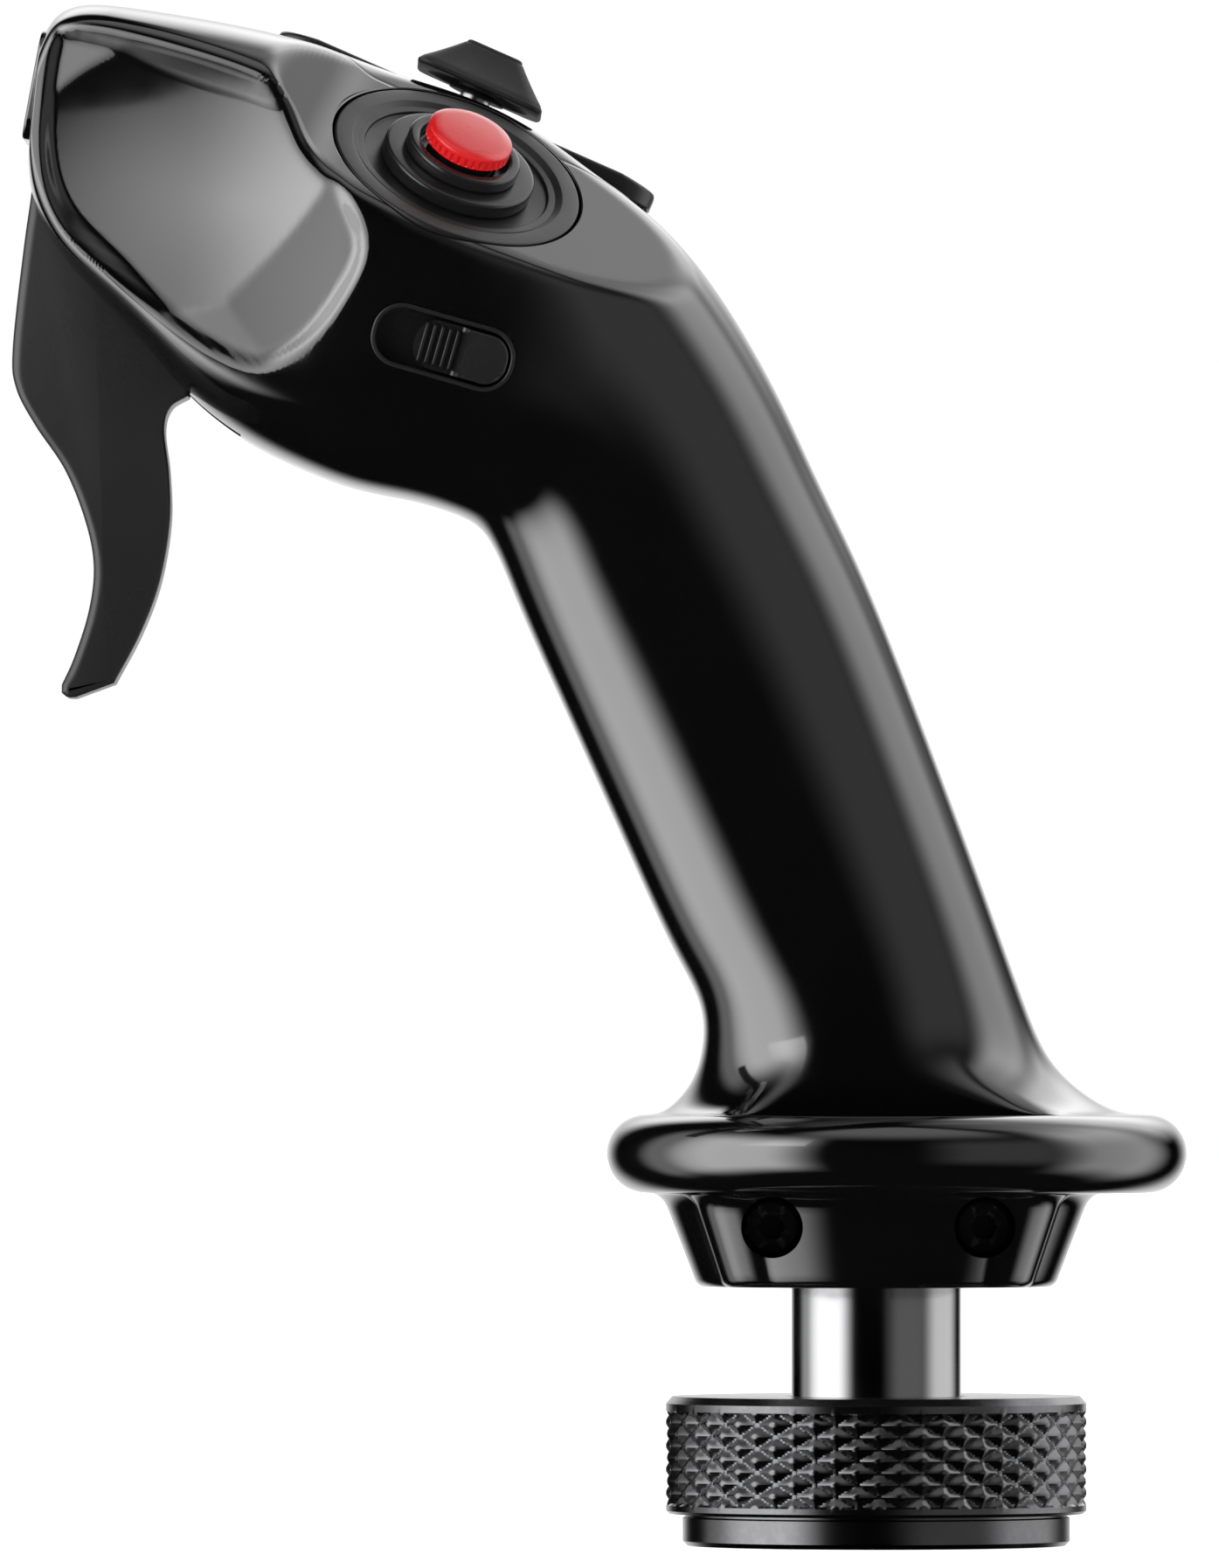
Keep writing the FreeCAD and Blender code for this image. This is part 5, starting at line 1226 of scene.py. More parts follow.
# ------------------------------------------------------------------ coupling, tube and plug
@dataclass
class Coupling:
    """The knurled nut, its thrust washer and the chromed tube; the plug insert in its foot keeps the frame's
    mesh.
    """

    radius: float = 26.5
    height: float = 18.8
    lip: float = 24.4
    band_foot: float = 4.0
    thread: float = 16.9
    thread_length: float = 9.5
    relief: float = 17.6
    web: float = 4.2
    tube: float = TUBE_RADIUS
    bore: float = 9.1
    gap: float = 0.3
    flange: float = 16.3
    flange_low: float = 10.0
    flange_top: float = 14.0
    tube_top: float = 74.0
    groove: float = 10.1
    groove_low: float = 58.6
    groove_top: float = 59.8
    washer: float = 16.2
    washer_thickness: float = 0.5
    teeth: int = 30
    columns_per_tooth: int = 16
    knurl_low: float = 5.1
    knurl_high: float = 17.0
    knurl_pitch: float = 2.975
    knurl_depth: float = 1.0
    thread_pitch: float = 1.5

    def nut(self) -> None:
        """The coupling nut: lip, diamond-knurled band, chamfered top and threaded bore."""
        hole = self.tube + self.gap
        profile = [(self.thread, 0.9), (self.thread + 0.9, 0.0), (self.lip - 0.6, 0.0), (self.lip, 0.6),
                   (self.lip, self.band_foot - 0.5), (self.lip - 0.35, self.band_foot - 0.3),
                   (self.lip - 0.35, self.band_foot), (self.radius - 0.45, self.band_foot),
                   (self.radius, self.band_foot + 0.4), (self.radius, self.knurl_low)]
        steps = int((self.knurl_high - self.knurl_low) / self.knurl_pitch * 12)
        profile += [(self.radius, z) for z in np.linspace(self.knurl_low, self.knurl_high, steps + 1)[1:]]
        under = self.height - self.web
        profile += [(self.radius, self.height - 0.9), (self.radius - 0.8, self.height),
                    (hole + 0.5, self.height), (hole, self.height - 0.5), (hole, under),
                    (self.relief, under), (self.relief, self.thread_length)]
        turns = int((self.thread_length - 1.2) / self.thread_pitch)
        for i in range(turns):
            top = self.thread_length - i * self.thread_pitch
            profile += [(self.thread, top - 0.2), (self.thread, top - 0.5),
                        (self.thread + 0.55, top - 0.95), (self.thread + 0.55, top - 1.15)]
        nut = built("coupling_nut_knurled", Disc(0.0, self.teeth * self.columns_per_tooth), profile, loop=True)
        nut.data.materials.clear()
        WORKSHOP.apply(nut, "diamond_knurl", Teeth=self.teeth, Pitch=self.knurl_pitch * MM,
                       Depth=self.knurl_depth * MM, Bottom=(self.knurl_low + 0.05) * MM,
                       Top=(self.knurl_high - 0.05) * MM, Material=FINISHES[Slot.NUT].material())
        shade(nut, math.radians(24))
        dressed(nut, "coupling_nut", Slot.NUT, ["coupling_nut"])

    def foot(self) -> None:
        """The tube with its foot flange, its circlip groove and its cross hole."""
        profile = [(self.bore, self.flange_low), (self.flange, self.flange_low), (self.flange, self.flange_top),
                   (self.tube, self.flange_top), (self.tube, self.groove_low), (self.groove, self.groove_low),
                   (self.groove, self.groove_top), (self.tube, self.groove_top), (self.tube, self.tube_top),
                   (self.bore, self.tube_top)]
        tube = turned("mounting_tube_chromed", profile, count=192, ease=0.35, loop=True)
        cross = prism("cross", Disc(CROSS_PIN_RADIUS, 32), -14, 14, facing_y(0, 0, CROSS_PIN_Z, 1))
        combine(tube, cross, Cut.TAKE)
        shade(tube)
        dressed(tube, "grip", Slot.CHROME, ["mounting_tube"])
        hole, low, top = self.tube + self.gap, self.flange_top, self.flange_top + self.washer_thickness
        washer = turned("thrust_washer_polished", [(hole, low), (self.washer, low), (self.washer, top),
                                                   (hole, top)], count=160, ease=0.12, loop=True)
        dressed(washer, "thrust_washer", Slot.SPRING, ["thrust_washer"])

    def build(self) -> None:
        """Builds the nut, the tube and the washer."""
        self.nut()
        self.foot()


# ------------------------------------------------------------------ the red button and its ring
@dataclass
class FireButton:
    """The ringed push button: a stepped ring, a nut, a collar and a red cap with a notched foot."""

    seat: Seat
    ring: float = 16.3
    step: float = 14.0
    slope: float = 13.2
    floor: float = 12.2
    floor_depth: float = 0.9
    nut: float = 9.9
    nut_top: float = 1.2
    collar: float = 7.4
    collar_top: float = 3.0
    well: float = 5.9
    bore: float = 4.36
    cap: float = 5.5
    cap_low: float = 3.3
    cap_top: float = 5.6
    hole: float = 6.0
    ledge_depth: float = 0.45
    ring_thickness: float = 2.0
    spigot: float = 14.7
    spigot_depth: float = 2.7
    collar_foot: float = -8.0
    well_floor: float = 1.1
    stem: float = 1.4
    stem_foot: float = -6.1
    plunger: float = 4.3
    plunger_low: float = -3.4
    notches: int = 36
    notch_depth: float = 0.28

    def build(self) -> None:
        """Builds the fixed rings on the grip and the cap and plunger on their own body."""
        ring = turned("fire_ring_bezel", [
            (self.hole, -self.floor_depth), (self.floor, -self.floor_depth), (self.floor, -self.ledge_depth),
            (self.slope, -self.ledge_depth), (self.step, 0.0), (self.ring, 0.0),
            (self.ring, -self.ring_thickness), (self.spigot, -self.ring_thickness),
            (self.spigot, -self.spigot_depth), (self.hole, -self.spigot_depth)], self.seat, 192, 0.3, True)
        dressed(ring, "grip", Slot.DECK, ["fire_bezel"])
        nut = turned("fire_nut_ring", [
            (self.hole, -self.floor_depth), (self.nut, -self.floor_depth), (self.nut, self.nut_top),
            (self.hole, self.nut_top)], self.seat, 160, 0.45, True)
        dressed(nut, "grip", Slot.PLASTIC, ["fire_ring_nut"])
        collar = turned("fire_collar", [
            (self.bore, self.collar_foot), (self.hole, self.collar_foot), (self.hole, self.nut_top),
            (self.collar, self.nut_top), (self.collar, self.collar_top), (self.well, self.collar_top),
            (self.well, self.well_floor), (self.bore, self.well_floor)], self.seat, 160, 0.45, True)
        dressed(collar, "grip", Slot.PLASTIC, ["fire_bushing"])
        self.moving()

    def moving(self) -> None:
        """The red cap, its foot notched all round, and the plunger under it."""
        dome = [(0.0, self.cap_top), (2.2, self.cap_top - 0.02), (3.9, self.cap_top - 0.12)]
        profile = eased([(0.0, self.cap_low), (self.cap, self.cap_low), (self.cap, self.cap_top - 0.5),
                         (self.cap - 0.75, self.cap_top - 0.18)], 0.25) + dome[::-1]
        dense = []
        for (radius, low), (end, high) in zip(profile, profile[1:]):
            count = max(1, int(abs(high - low) / 0.12))
            dense += [(radius + (end - radius) * i / count, low + (high - low) * i / count)
                      for i in range(count)]
        dense.append(profile[-1])
        cap = built("fire_button_cap", Disc(0.0, self.notches * 8), dense)
        WORKSHOP.apply(cap, "flutes", Count=self.notches, Depth=self.notch_depth * MM,
                       Bottom=(self.cap_low + 0.2) * MM, Top=(self.cap_top - 1.05) * MM,
                       Material=FINISHES[Slot.RED].material())
        cap.data.transform(self.seat.matrix())
        shade(cap, math.radians(40))
        dressed(cap, "fire_button", Slot.RED, ["fire_button"])
        plunger = turned("fire_plunger_stem", [
            (0.0, self.stem_foot), (self.stem, self.stem_foot), (self.stem, self.plunger_low),
            (self.plunger, self.plunger_low), (self.plunger, self.cap_low), (0.0, self.cap_low)],
            self.seat, 96, 0.2)
        dressed(plunger, "fire_button", Slot.PLASTIC, ["fire_plunger"])


# ------------------------------------------------------------------ the hat switch
@dataclass
class HatSwitch:
    """The crowned plate on the head and the tilting cap over it."""

    seat: Seat
    length: float = 51.8
    width: float = 15.0
    corner: float = 5.0
    end: float = 2.2
    crown: float = 3.8
    edge: float = 0.55
    stem_hole: float = 3.3
    screw_hole: float = 1.0
    screw_head: float = 2.05
    screw_depth: float = 1.76
    rim: float = 5.3
    rim_land: float = 0.8
    top: float = 10.9
    rim_half: float = 8.5
    rim_corner: float = 2.2
    crest_half: float = 3.8
    crest_corner: float = 1.0
    dishing: float = 0.35
    hollow: float = 7.1
    hollow_foot: float = 4.0
    hollow_rise: float = 2.2
    post: float = 2.7
    post_foot: float = 4.6
    bore: float = 2.0
    corner_steps: int = 8
    side_runs: int = 14

    def crown_at(self, x: Array) -> Array:
        """The height of the plate's arched top."""
        rise, half = self.crown - self.end, self.length / 2
        radius = (half * half + rise * rise) / (2 * rise)
        return self.crown - radius + np.sqrt(radius * radius - x * x)

    def screw_level(self) -> float:
        """The height of the plate screws' heads."""
        return float(self.crown_at(np.array(PLATE_SCREW_X))) - PLATE_SCREW_SINK

    def plate(self) -> None:
        """The arched plate with its two countersunk screw seats and the stem's hole."""
        outline = RoundedRectangle(self.length / 2, self.width / 2, self.corner, 16)
        rings = [level_ring(outline.ring(-0.25), 0.0), level_ring(outline.ring(0.0), 0.25)]
        insets = quarter_round(self.edge, 6)
        insets += [(inset, 0.0) for inset in np.linspace(1.2, self.width / 2 - 0.1, 9)]
        for inset, drop in insets:
            ring = outline.ring(-inset)
            rings.append(np.column_stack([ring, self.crown_at(ring[:, 0]) - drop]))
        plate = stacked("hat_deck_plate", np.array(rings), self.seat)
        combine(plate, prism("stem", Disc(self.stem_hole, 64), -2, 9, self.seat), Cut.TAKE)
        for side in (-1, 1):
            seat = self.seat.shifted(x=side * PLATE_SCREW_X, z=self.screw_level())
            combine(plate, prism("shank", Disc(self.screw_hole, 32), -6, 4, seat), Cut.TAKE)
            combine(plate, prism("sink", Disc(self.screw_head, 48), -self.screw_depth, 4, seat), Cut.TAKE)
        soft_edges(plate, 0.12, 50)
        dressed(plate, "grip", Slot.DECK, ["hat_plate"])

    def cap(self) -> None:
        """The square cap: a thin land, four slightly hollow slopes, an eased crest and a hollow underside."""
        low = self.rim + self.rim_land
        rings = [self._cap_ring(self.rim + height, grow, 0.0)
                 for height, grow in ((0.0, -0.3), (0.15, -0.08), (0.3, 0.0), (self.rim_land - 0.2, 0.0))]
        for share in np.linspace(0, 1, 22)[:-1]:
            ease = 0.18 * math.exp(-(share / 0.05) ** 2)
            rings.append(self._cap_ring(low + (self.top - 0.35 - low) * share, -ease, share))
        for inset, drop in quarter_round(1.0, 6):
            rings.append(self._cap_ring(self.top - 0.45 * drop, -0.55 * inset, 1.0))
        rings += [self._cap_ring(self.top - 0.03 * inset, -inset, 1.0) for inset in (1.3, 2.2, 3.2)]
        cap = stacked("hat_cap_rubber", np.array(rings), self.seat)
        ceiling = self.rim + self.hollow_rise
        hollow = turned("hollow", [(0.0, self.hollow_foot), (self.hollow, self.hollow_foot),
                                   (self.hollow, self.rim), (self.post, ceiling), (0.0, ceiling)],
                        self.seat, 96, 0.2)
        combine(hollow, prism("post", Disc(self.post, 64), self.post_foot, self.rim + 3, self.seat), Cut.TAKE)
        combine(cap, hollow, Cut.TAKE)
        combine(cap, prism("bore", Disc(self.bore, 48), self.hollow_foot, self.rim + 2, self.seat), Cut.TAKE)
        shade(cap)
        dressed(cap, "hat", Slot.RUBBER, ["hat_cap"])

    def _cap_ring(self, height: float, grow: float, share: float) -> Array:
        """One ring of the cap, its sides hollowed in the middle."""
        half = self.rim_half + (self.crest_half - self.rim_half) * share
        corner = self.rim_corner + (self.crest_corner - self.rim_corner) * share
        ring = RoundedRectangle(half, half, corner, self.corner_steps).ring(grow)
        runs = []
        for i, (here, after) in enumerate(zip(ring, np.roll(ring, -1, axis=0))):
            pieces = self.side_runs if i % (self.corner_steps + 1) == self.corner_steps else 1
            runs += [here + (after - here) * j / pieces for j in range(pieces)]
        points = np.array(runs)
        size = half + grow
        near = np.minimum(np.abs(points[:, 0]), np.abs(points[:, 1])) / size
        pull = self.dishing * 4 * share * (1 - share) * np.clip(1 - near ** 2, 0, 1)
        return level_ring(points * (1 - (pull / size))[:, None], height)

    def skirt(self) -> None:
        """The rubber skirt that closes the gap under the cap."""
        skirt = turned("hat_skirt_rubber", [
            (self.bore, self.post_foot), (3.8, self.post_foot), (3.5, 4.9), (self.post, self.rim),
            (self.bore, self.rim)], self.seat, 96, 0.1, True)
        dressed(skirt, "hat", Slot.RUBBER, ["hat_skirt"])

    def build(self) -> None:
        """Builds the plate, the cap and the skirt."""
        self.plate()
        self.cap()
        self.skirt()


# ------------------------------------------------------------------ the slide switch
@dataclass
class SlideSwitch:
    """The oblong tray in the head's left side and the ribbed knob in it."""

    seat: Seat
    length: float = 18.4
    width: float = 8.2
    corner: float = 3.8
    depth: float = 5.0
    wall: float = 0.6
    lip: float = 0.22
    floor: float = 1.0
    knob_length: float = 12.0
    knob_width: float = 6.2
    knob_corner: float = 2.7
    knob_height: float = 4.3
    knob_edge: float = 0.35
    knob_valley: float = 2.5
    ridge_height: float = 0.75
    ridge_pitch: float = 1.0
    ridge_count: int = 5
    travel: float = 4.0

    def middle(self) -> float:
        """Where the knob's middle lies along the tray at rest."""
        return self.length / 2 - self.wall - 0.3 - self.knob_length / 2

    def tray(self) -> None:
        """The tray: a thin wall with an eased lip round a flat floor with a slot."""
        outline = RoundedRectangle(self.length / 2, self.width / 2, self.corner, 14)
        lip, inner, base = self.lip, -self.wall, self.floor - self.depth
        profile = [(0.0, -self.depth), (0.0, -lip), (-lip * 0.3, -lip * 0.3), (-lip, 0.0), (inner + lip, 0.0),
                   (inner + lip * 0.3, -lip * 0.3), (inner, -lip), (inner, base + 0.4), (inner - 0.4, base)]
        tray = built("slide_tray_well", outline, profile, self.seat)
        middle = self.seat.shifted(x=self.middle() - self.travel / 2)
        slot = RoundedRectangle(1.8 + self.travel / 2, 1.0, 0.5, 4)
        combine(tray, prism("slot", slot, -8, 0, middle), Cut.TAKE)
        shade(tray)
        dressed(tray, "grip", Slot.PLASTIC, ["slide_tray"])

    def knob(self) -> None:
        """The knob: a low ribbed front and a raised rear end over a tongue."""
        seat = self.seat.shifted(x=self.middle(), z=self.floor - self.depth + 0.05)
        outline = RoundedRectangle(self.knob_length / 2, self.knob_width / 2, self.knob_corner, 14)
        profile = [(0.0, 0.0)] + [(-inset, self.knob_height - drop)
                                  for inset, drop in quarter_round(self.knob_edge, 5)]
        knob = built("slide_knob_ribbed", outline, profile, seat)
        front = -self.knob_length / 2
        crest = front + 0.6 + self.ridge_pitch * self.ridge_count + 1.2
        scoop = eased([(front - 1, self.knob_valley), (crest - 0.9, self.knob_valley),
                       (crest, self.knob_height + 1.5), (front - 1, self.knob_height + 1.5)], 0.9, 6, True)
        combine(knob, self._bar("scoop", scoop, self.knob_width, seat), Cut.TAKE)
        combine(knob, self._ridges(seat, front + 1.1), Cut.JOIN)
        tongue = RoundedRectangle(1.5, 0.8, 0.3, 4)
        combine(knob, prism("tongue", tongue, -self.floor - 1.4, 0.3, seat), Cut.JOIN)
        shade(knob)
        dressed(knob, "slide_knob", Slot.PLASTIC, ["slide_knob"])

    def _bar(self, name: str, outline: Sequence[Point], width: float, seat: Seat) -> bpy.types.Object:
        """A bar of that side outline, lying across the knob."""
        points = np.array(outline)
        rings = np.array([np.column_stack([points[:, 0], np.full(len(points), y), points[:, 1]])
                          for y in (-width, width)])
        return stacked(name, rings, seat)

    def _ridges(self, seat: Seat, start: float) -> bpy.types.Object:
        """The row of finger ridges, each with an eased top."""
        half, low = self.ridge_pitch * 0.34, self.knob_valley - 0.3
        top = self.knob_valley + self.ridge_height
        outline = np.array(eased([(-half, low), (half, low), (half * 0.55, top), (-half * 0.55, top)],
                                 0.14, 3, True))
        reach = self.knob_width / 2 - 0.45
        ends = [(-reach, 0.55), (-reach + 0.25, 0.9), (-reach + 0.6, 1.0), (reach - 0.6, 1.0),
                (reach - 0.25, 0.9), (reach, 0.55)]
        rings = []
        for y, share in ends:
            height = low + (outline[:, 1] - low) * share
            rings.append(np.column_stack([outline[:, 0], np.full(len(outline), y), height]))
        ridge = stacked("ridges", np.array(rings))
        WORKSHOP.apply(ridge, "ridges", Count=self.ridge_count, Pitch=self.ridge_pitch * MM,
                       Material=FINISHES[Slot.PLASTIC].material())
        ridge.data.transform(seat.shifted(x=start).matrix())
        return tidy(ridge)

    def build(self) -> None:
        """Builds the tray and the knob."""
        self.tray()
        self.knob()


# ------------------------------------------------------------------ the trigger
@dataclass
class Trigger:
    """The swept finger lever: a smooth outline with a round front edge, bored for its pin."""

    half: float = 6.6
    front: Tuple[Point, ...] = ((-106.2, 171.1), (-107.4, 162.6), (-108.7, 150.6), (-108.3, 145.7),
                                (-105.9, 141.0), (-102.1, 135.3), (-99.5, 128.7), (-98.5, 123.2), (-99.1, 117.7),
                                (-100.9, 111.9), (-102.5, 108.3))
    tip: Tuple[Point, ...] = ((-102.5, 107.3), (-101.8, 106.75), (-100.8, 106.7))
    back: Tuple[Point, ...] = ((-95.9, 108.5), (-92.6, 114.7), (-90.2, 121.1), (-88.9, 128.6), (-89.0, 134.9),
                               (-89.6, 140.4), (-88.8, 143.2), (-86.6, 144.6))
    head: Tuple[Point, ...] = ((-86.3, 149.3), (-87.6, 153.5), (-87.6, 161.2), (-91.1, 169.0), (-97.0, 172.1),
                               (-102.9, 172.3))
    pin: float = 1.56
    front_round: float = 1.25
    back_round: float = 0.55

    def outline(self) -> Tuple[Array, Array]:
        """The side outline and how round each of its points is."""
        front, back = through(self.front, 9), through(self.back, 9)
        tip = through(self.tip, 3)
        foot = np.linspace(self.tip[-1], self.back[0], 8)[1:-1]
        head = np.array(eased([self.back[-1]] + list(self.head) + [self.front[0]], 1.5, 4))[1:-1]
        points = np.concatenate([front, tip, foot, back, head])
        round_ = np.concatenate([np.full(len(front), self.front_round), np.full(len(tip), 0.8),
                                 np.full(len(foot), 0.6), np.full(len(back), self.back_round),
                                 np.full(len(head), 0.4)])
        kernel = np.ones(9) / 9
        padded = np.concatenate([round_[-4:], round_, round_[:4]])
        return points, np.convolve(padded, kernel, "valid")

    def build(self) -> None:
        """Builds the lever between its two cheeks."""
        points, round_ = self.outline()
        ahead = np.roll(points, -1, axis=0) - np.roll(points, 1, axis=0)
        after = np.roll(points, -1, axis=0)
        area = 0.5 * float(np.sum(points[:, 0] * after[:, 1] - after[:, 0] * points[:, 1]))
        inward = np.stack([-ahead[:, 1], ahead[:, 0]], axis=1) * math.copysign(1.0, area)
        inward /= np.linalg.norm(inward, axis=1)[:, None]
        turns = np.linspace(0, math.pi / 2, 7)
        rings = []
        for side in (-1, 1):
            for turn in (turns if side < 0 else turns[::-1]):
                inset = round_[:, None] * (1 - math.sin(turn))
                y = side * (self.half - round_ * (1 - math.cos(turn)))
                moved = points + inward * inset
                rings.append(np.column_stack([moved[:, 0], y, moved[:, 1]]))
        lever = stacked("trigger_lever", np.array(rings))
        pivot_x, pivot_z = TRIGGER_PIVOT
        combine(lever, prism("bore", Disc(self.pin, 48), -10, 10, facing_y(pivot_x, 0, pivot_z, 1)), Cut.TAKE)
        shade(lever, math.radians(40))
        dressed(lever, "trigger", Slot.TRIGGER, ["trigger"])


# ------------------------------------------------------------------ screws, nuts and the nose cap
def hexagon(across: float) -> Disc:
    """A hexagon that measures that much across its flats."""
    return Disc(across / 2 / math.cos(math.pi / 6), 6)


@dataclass(frozen=True)
class Screw:
    """A socket-head screw along Z, its head's top at Z = 0; key is the socket's size across its flats."""

    shank: float
    head: float
    head_height: float
    length: float
    key: float

    def build(self) -> bpy.types.Object:
        """The screw with turned thread grooves."""
        shank, head, foot = self.shank, self.head, -self.length
        profile = [(0.0, foot), (shank - 0.3, foot), (shank, foot + 0.4)]
        pitch = shank * 0.35
        thread_top = -self.head_height - 1.0
        for i in range(int((self.length + thread_top) / pitch)):
            low = foot + 0.4 + i * pitch
            profile += [(shank, low + pitch * 0.35), (shank - pitch * 0.3, low + pitch * 0.7),
                        (shank, low + pitch)]
        profile += [(shank, -self.head_height), (head, -self.head_height), (head, -0.45), (head - 0.45, 0.0),
                    (0.0, 0.0)]
        screw = turned("fastener", profile, UPRIGHT, 48, 0.12)
        combine(screw, prism("socket", hexagon(self.key), -self.head_height * 0.55, 2), Cut.TAKE)
        shade(screw)
        return screw


@dataclass
class Fasteners:
    """The clamp screws and nuts, the case screws and the plate screws."""

    hat: Seat
    clamp_screw: Screw = Screw(2.0, 3.5, 4.0, 27.4, 3.0)
    case_screw: Screw = Screw(1.2, 2.9, 2.2, 14.0, 2.0)
    plate_screw: Screw = Screw(1.0, 2.0, 1.76, 6.0, 1.6)
    head_y: float = 14.2
    nut_y: float = 10.2
    nut_across: float = 7.0
    nut_height: float = 3.2

    def nut(self) -> bpy.types.Object:
        """A hexagon nut standing on Z = 0."""
        nut = built("fastener", hexagon(self.nut_across), [(0.0, 0.0), (0.0, self.nut_height)])
        combine(nut, prism("thread", Disc(self.clamp_screw.shank, 48), -1, 5), Cut.TAKE)
        return soft_edges(nut, 0.3)

    def set_of(self, name: str, master: bpy.types.Object, places: Array, aim: Array, node: str,
               slot: Slot = Slot.BLACK_STEEL) -> None:
        """Puts a copy of the master at each place, turned to the aim, as one piece."""
        piece = new_object(name, places, [])
        WORKSHOP.apply(piece, "fasteners", Fastener=master, Direction=tuple(float(v) for v in aim),
                       Material=FINISHES[slot].material())
        discard(master)
        shade(piece)
        dressed(piece, "grip", slot, [node])

    def build(self) -> None:
        """Builds every set."""
        left, right = np.array((0.0, -1.0, 0.0)), np.array((0.0, 1.0, 0.0))
        clamps = [(-CLAMP_X, CLAMP_Z), (CLAMP_X, CLAMP_Z)]
        self.set_of("clamp_screw_set", self.clamp_screw.build(),
                    np.array([(x, -self.head_y, z) for x, z in clamps]), left, "clamp_screws")
        self.set_of("clamp_nut_set", self.nut(),
                    np.array([(x, self.nut_y, z) for x, z in clamps]), right, "clamp_nuts")
        self.set_of("case_screw_set", self.case_screw.build(),
                    np.array([(x, self.head_y, z) for x, z in CASE_SCREWS]), right, "case_screws")
        level = HatSwitch(self.hat).screw_level()
        heads = self.hat.place(np.array([(side * PLATE_SCREW_X, 0.0, level) for side in (-1, 1)]))
        self.set_of("plate_screw_set", self.plate_screw.build(), heads, self.hat.z, "plate_screws")


@dataclass
class NoseCap:
    """The small plate let into the nose."""

    seat: Seat
    hole: RoundedRectangle = Shells.nose_hole
    inset: float = Shells.nose_inset
    gap: float = 0.06
    thickness: float = 1.9
    edge: float = 0.35

    def build(self) -> None:
        """Builds the plate with an eased rim."""
        outline = RoundedRectangle(self.hole.half_x - self.gap, self.hole.half_y - self.gap, self.hole.corner, 12)
        top = self.thickness - self.inset
        rim = [(-inset, top - drop) for inset, drop in quarter_round(self.edge, 6)]
        profile = [(0.0, -self.inset)] + rim + [(-2.0, top + 0.02)]
        dressed(built("nose_cap_plate", outline, profile, self.seat), "grip", Slot.SHELL, ["nose_cap"])


# ------------------------------------------------------------------ what stays as the frame made it
@dataclass
class Inside:
    """The pieces that keep the frame's own meshes and only take a finish."""

    finishes: Dict[str, Slot] = field(default_factory=lambda: {
        "tube_circlip": Slot.SPRING, "tube_cross_pin": Slot.SPRING, "plug_insert": Slot.PLASTIC,
        "plug_contacts": Slot.GOLD, "fire_switch": Slot.PLASTIC, "hat_housing": Slot.PLASTIC,
        "hat_contact_board": Slot.BOARD, "hat_gimbal": Slot.SPRING, "hat_stem": Slot.SPRING,
        "slide_switch_body": Slot.PLASTIC, "trigger_pin": Slot.SPRING, "trigger_spring": Slot.SPRING,
        "trigger_switch_first": Slot.PLASTIC, "trigger_switch_second": Slot.PLASTIC,
        "circuit_board": Slot.BOARD, "board_components": Slot.PLASTIC, "wiring_loom": Slot.LOOM})

    def build(self) -> None:
        """Gives each node its finish."""
        for name, slot in self.finishes.items():
            node = frame["nodes"][name]
            for held in node.material_slots:
                held.material = FINISHES[slot].material()
            LOG.info("%s: %s", name, slot.value)


# ------------------------------------------------------------------ the studio
@dataclass(frozen=True)
class Glow:
    """A soft-edged patch of light in the studio's surroundings, seen by azimuth and elevation in degrees.

    Azimuth 0 is towards the front, 90 to the right and 180 straight behind.
    """

    azimuth: float
    elevation: float
    half_width: float
    half_height: float
    level: float
    soft: float = 14.0

    def wire(self, wiring: Wiring, azimuth: Socket, elevation: Socket) -> Socket:
        """This patch's brightness in the direction given by the two sockets."""
        across = self._edge(wiring, azimuth, self.azimuth, self.half_width)
        along = self._edge(wiring, elevation, self.elevation, self.half_height)
        return wiring.maths("MULTIPLY", wiring.maths("MULTIPLY", across, along), self.level)

    def _edge(self, wiring: Wiring, angle: Socket, middle: float, half: float) -> Socket:
        """Full inside the patch, and fading out over its soft edge."""
        away = wiring.maths("ABSOLUTE", wiring.maths("SUBTRACT", angle, math.radians(middle)))
        low, high = math.radians(half - self.soft), math.radians(half + self.soft)
        return wiring.ranged(away, low, high, 1.0, 0.0, True)


@dataclass(frozen=True)
class Softbox:
    """One rectangular light that faces the object; only a mirrored one shows in glossy surfaces."""

    name: str
    place: Tuple[float, float, float]
    target: Tuple[float, float, float]
    width: float
    height: float
    level: float
    mirrored: bool = True
    spread: float = 180.0

    def build(self) -> None:
        """Hangs the light; its power keeps the face's brightness whatever its size."""
        lamp = bpy.data.lights.new(self.name, "AREA")
        lamp.shape = "RECTANGLE"
        lamp.size, lamp.size_y = self.width, self.height
        lamp.spread = math.radians(self.spread)
        lamp.energy = self.level * self.width * self.height * math.pi
        holder = bpy.data.objects.new(self.name, lamp)
        bpy.context.scene.collection.objects.link(holder)
        away = Vector(self.target) - Vector(self.place)
        holder.location = self.place
        holder.rotation_euler = away.to_track_quat("-Z", "Y").to_euler()
        holder.visible_camera = False
        holder.visible_glossy = self.mirrored


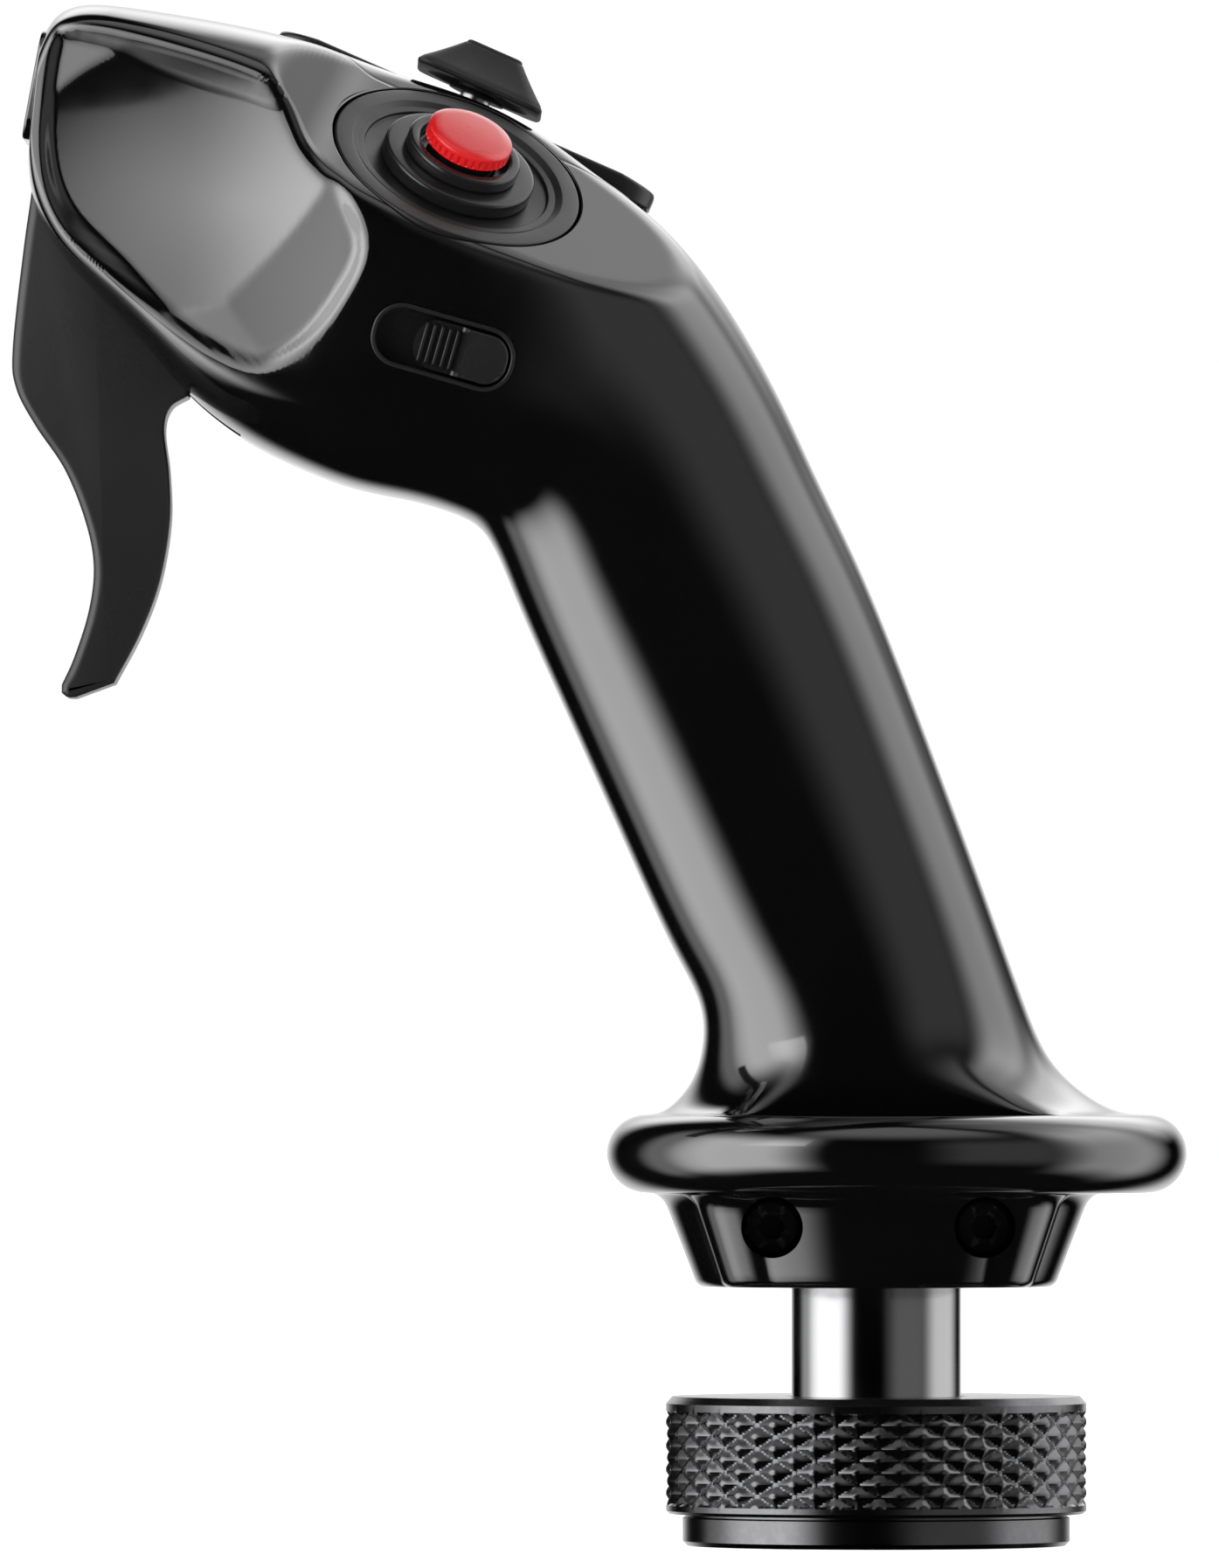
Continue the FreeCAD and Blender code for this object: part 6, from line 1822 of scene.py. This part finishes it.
@dataclass
class Studio:
    """The floor, the lights, the surroundings and the camera."""

    camera_place: Tuple[float, float, float] = (-0.0336, -2.5, 0.062)
    camera_target: Tuple[float, float, float] = (-0.0336, 0.0, 0.0959)
    lens: float = 455.5
    floor_radius: float = 9.0
    floor_glow: float = 0.82
    glows: Tuple[Glow, ...] = (
        Glow(-70, 3, 27, 40, 3.2), Glow(-108, 3, 14, 40, 0.75, 8), Glow(103, 8, 26, 44, 1.5),
        Glow(45, 8, 26, 30, 0.26), Glow(180, 8, 22, 32, 1.0, 10), Glow(-180, 8, 22, 32, 1.0, 10),
        Glow(124, 52, 42, 22, 0.8), Glow(160, 34, 22, 16, 1.8, 10),
        Glow(-172, 32, 14, 14, 1.5, 10), Glow(0, 75, 60, 22, 0.7, 14))
    boxes: Tuple[Softbox, ...] = (
        Softbox("nose_box", (-0.178, -0.140, 0.203), (-0.088, -0.022, 0.180), 0.125, 0.125, 0.36,
                spread=75.0),
        Softbox("key", (-0.5, -0.7, 1.0), (-0.03, 0.0, 0.1), 0.5, 0.5, 3.0, False))

    def build(self) -> None:
        """Sets everything up."""
        self._floor()
        self._surroundings()
        for softbox in self.boxes:
            softbox.build()
        camera = bpy.data.objects.new("camera", bpy.data.cameras.new("camera"))
        bpy.context.scene.collection.objects.link(camera)
        camera.data.lens = self.lens
        camera.data.sensor_width = 36.0
        camera.data.clip_end = 60.0
        camera.location = self.camera_place
        away = Vector(self.camera_target) - Vector(self.camera_place)
        camera.rotation_euler = away.to_track_quat("-Z", "Y").to_euler()
        bpy.context.scene.camera = camera
        bpy.context.scene.view_settings.view_transform = "Standard"

    def _floor(self) -> None:
        """A wide pale floor that shows the surroundings' lower half to mirrors instead of itself."""
        points = level_ring(Disc(self.floor_radius / MM, 96).ring(), 0.0)
        floor = new_object("floor", points, [list(range(len(points)))])
        material = bpy.data.materials.new("pale_floor")
        material.use_nodes = True
        material.node_tree.nodes.clear()
        wiring = Wiring(material.node_tree)
        plain = wiring.add("ShaderNodeBsdfPrincipled")
        plain.inputs["Base Color"].default_value = (0.85, 0.85, 0.85, 1)
        plain.inputs["Roughness"].default_value = 0.9
        plain.inputs["Specular IOR Level"].default_value = 0.0
        plain.inputs["Emission Color"].default_value = (1, 1, 1, 1)
        plain.inputs["Emission Strength"].default_value = self.floor_glow
        mix = wiring.add("ShaderNodeMixShader")
        wiring.join(wiring.add("ShaderNodeLightPath").outputs["Is Glossy Ray"], mix.inputs[0])
        wiring.join(plain.outputs[0], mix.inputs[1])
        wiring.join(wiring.add("ShaderNodeBsdfTransparent").outputs[0], mix.inputs[2])
        wiring.join(mix.outputs[0], wiring.add("ShaderNodeOutputMaterial").inputs["Surface"])
        floor.data.materials.append(material)

    def _surroundings(self) -> None:
        """White seen straight; to the object, a dark room with soft glows to the sides and behind."""
        world = bpy.data.worlds.new("studio")
        bpy.context.scene.world = world
        world.use_nodes = True
        world.node_tree.nodes.clear()
        wiring = Wiring(world.node_tree)
        parts = wiring.add("ShaderNodeSeparateXYZ")
        wiring.join(wiring.add("ShaderNodeTexCoord").outputs["Generated"], parts.inputs[0])
        towards = wiring.maths("MULTIPLY", parts.outputs["Y"], -1.0)
        azimuth = wiring.maths("ARCTAN2", parts.outputs["X"], towards)
        elevation = wiring.maths("ARCSINE", parts.outputs["Z"])
        room = None
        for glow in self.glows:
            level = glow.wire(wiring, azimuth, elevation)
            room = level if room is None else wiring.maths("ADD", room, level)
        path = wiring.add("ShaderNodeLightPath")
        strength = wiring.maths("MAXIMUM", room, path.outputs["Is Camera Ray"])
        light = wiring.add("ShaderNodeBackground")
        light.inputs["Color"].default_value = (1, 1, 1, 1)
        wiring.join(strength, light.inputs["Strength"])
        wiring.join(light.outputs[0], wiring.add("ShaderNodeOutputWorld").inputs["Surface"])


def main() -> None:
    """Builds the joystick piece by piece, then the studio round it."""
    logging.basicConfig(level=logging.INFO, format="%(name)s: %(message)s")
    fire, hat, slide, nose = fire_seat(), hat_seat(), slide_seat(), nose_seat()
    assemblies = (Shells(fire, hat, slide, nose), Coupling(), FireButton(fire), HatSwitch(hat),
                  SlideSwitch(slide), Trigger(), Fasteners(hat), NoseCap(nose), Inside())
    for assembly in assemblies:
        LOG.info("building %s", type(assembly).__name__)
        assembly.build()
    Studio().build()


if __name__ == "__main__":
    main()
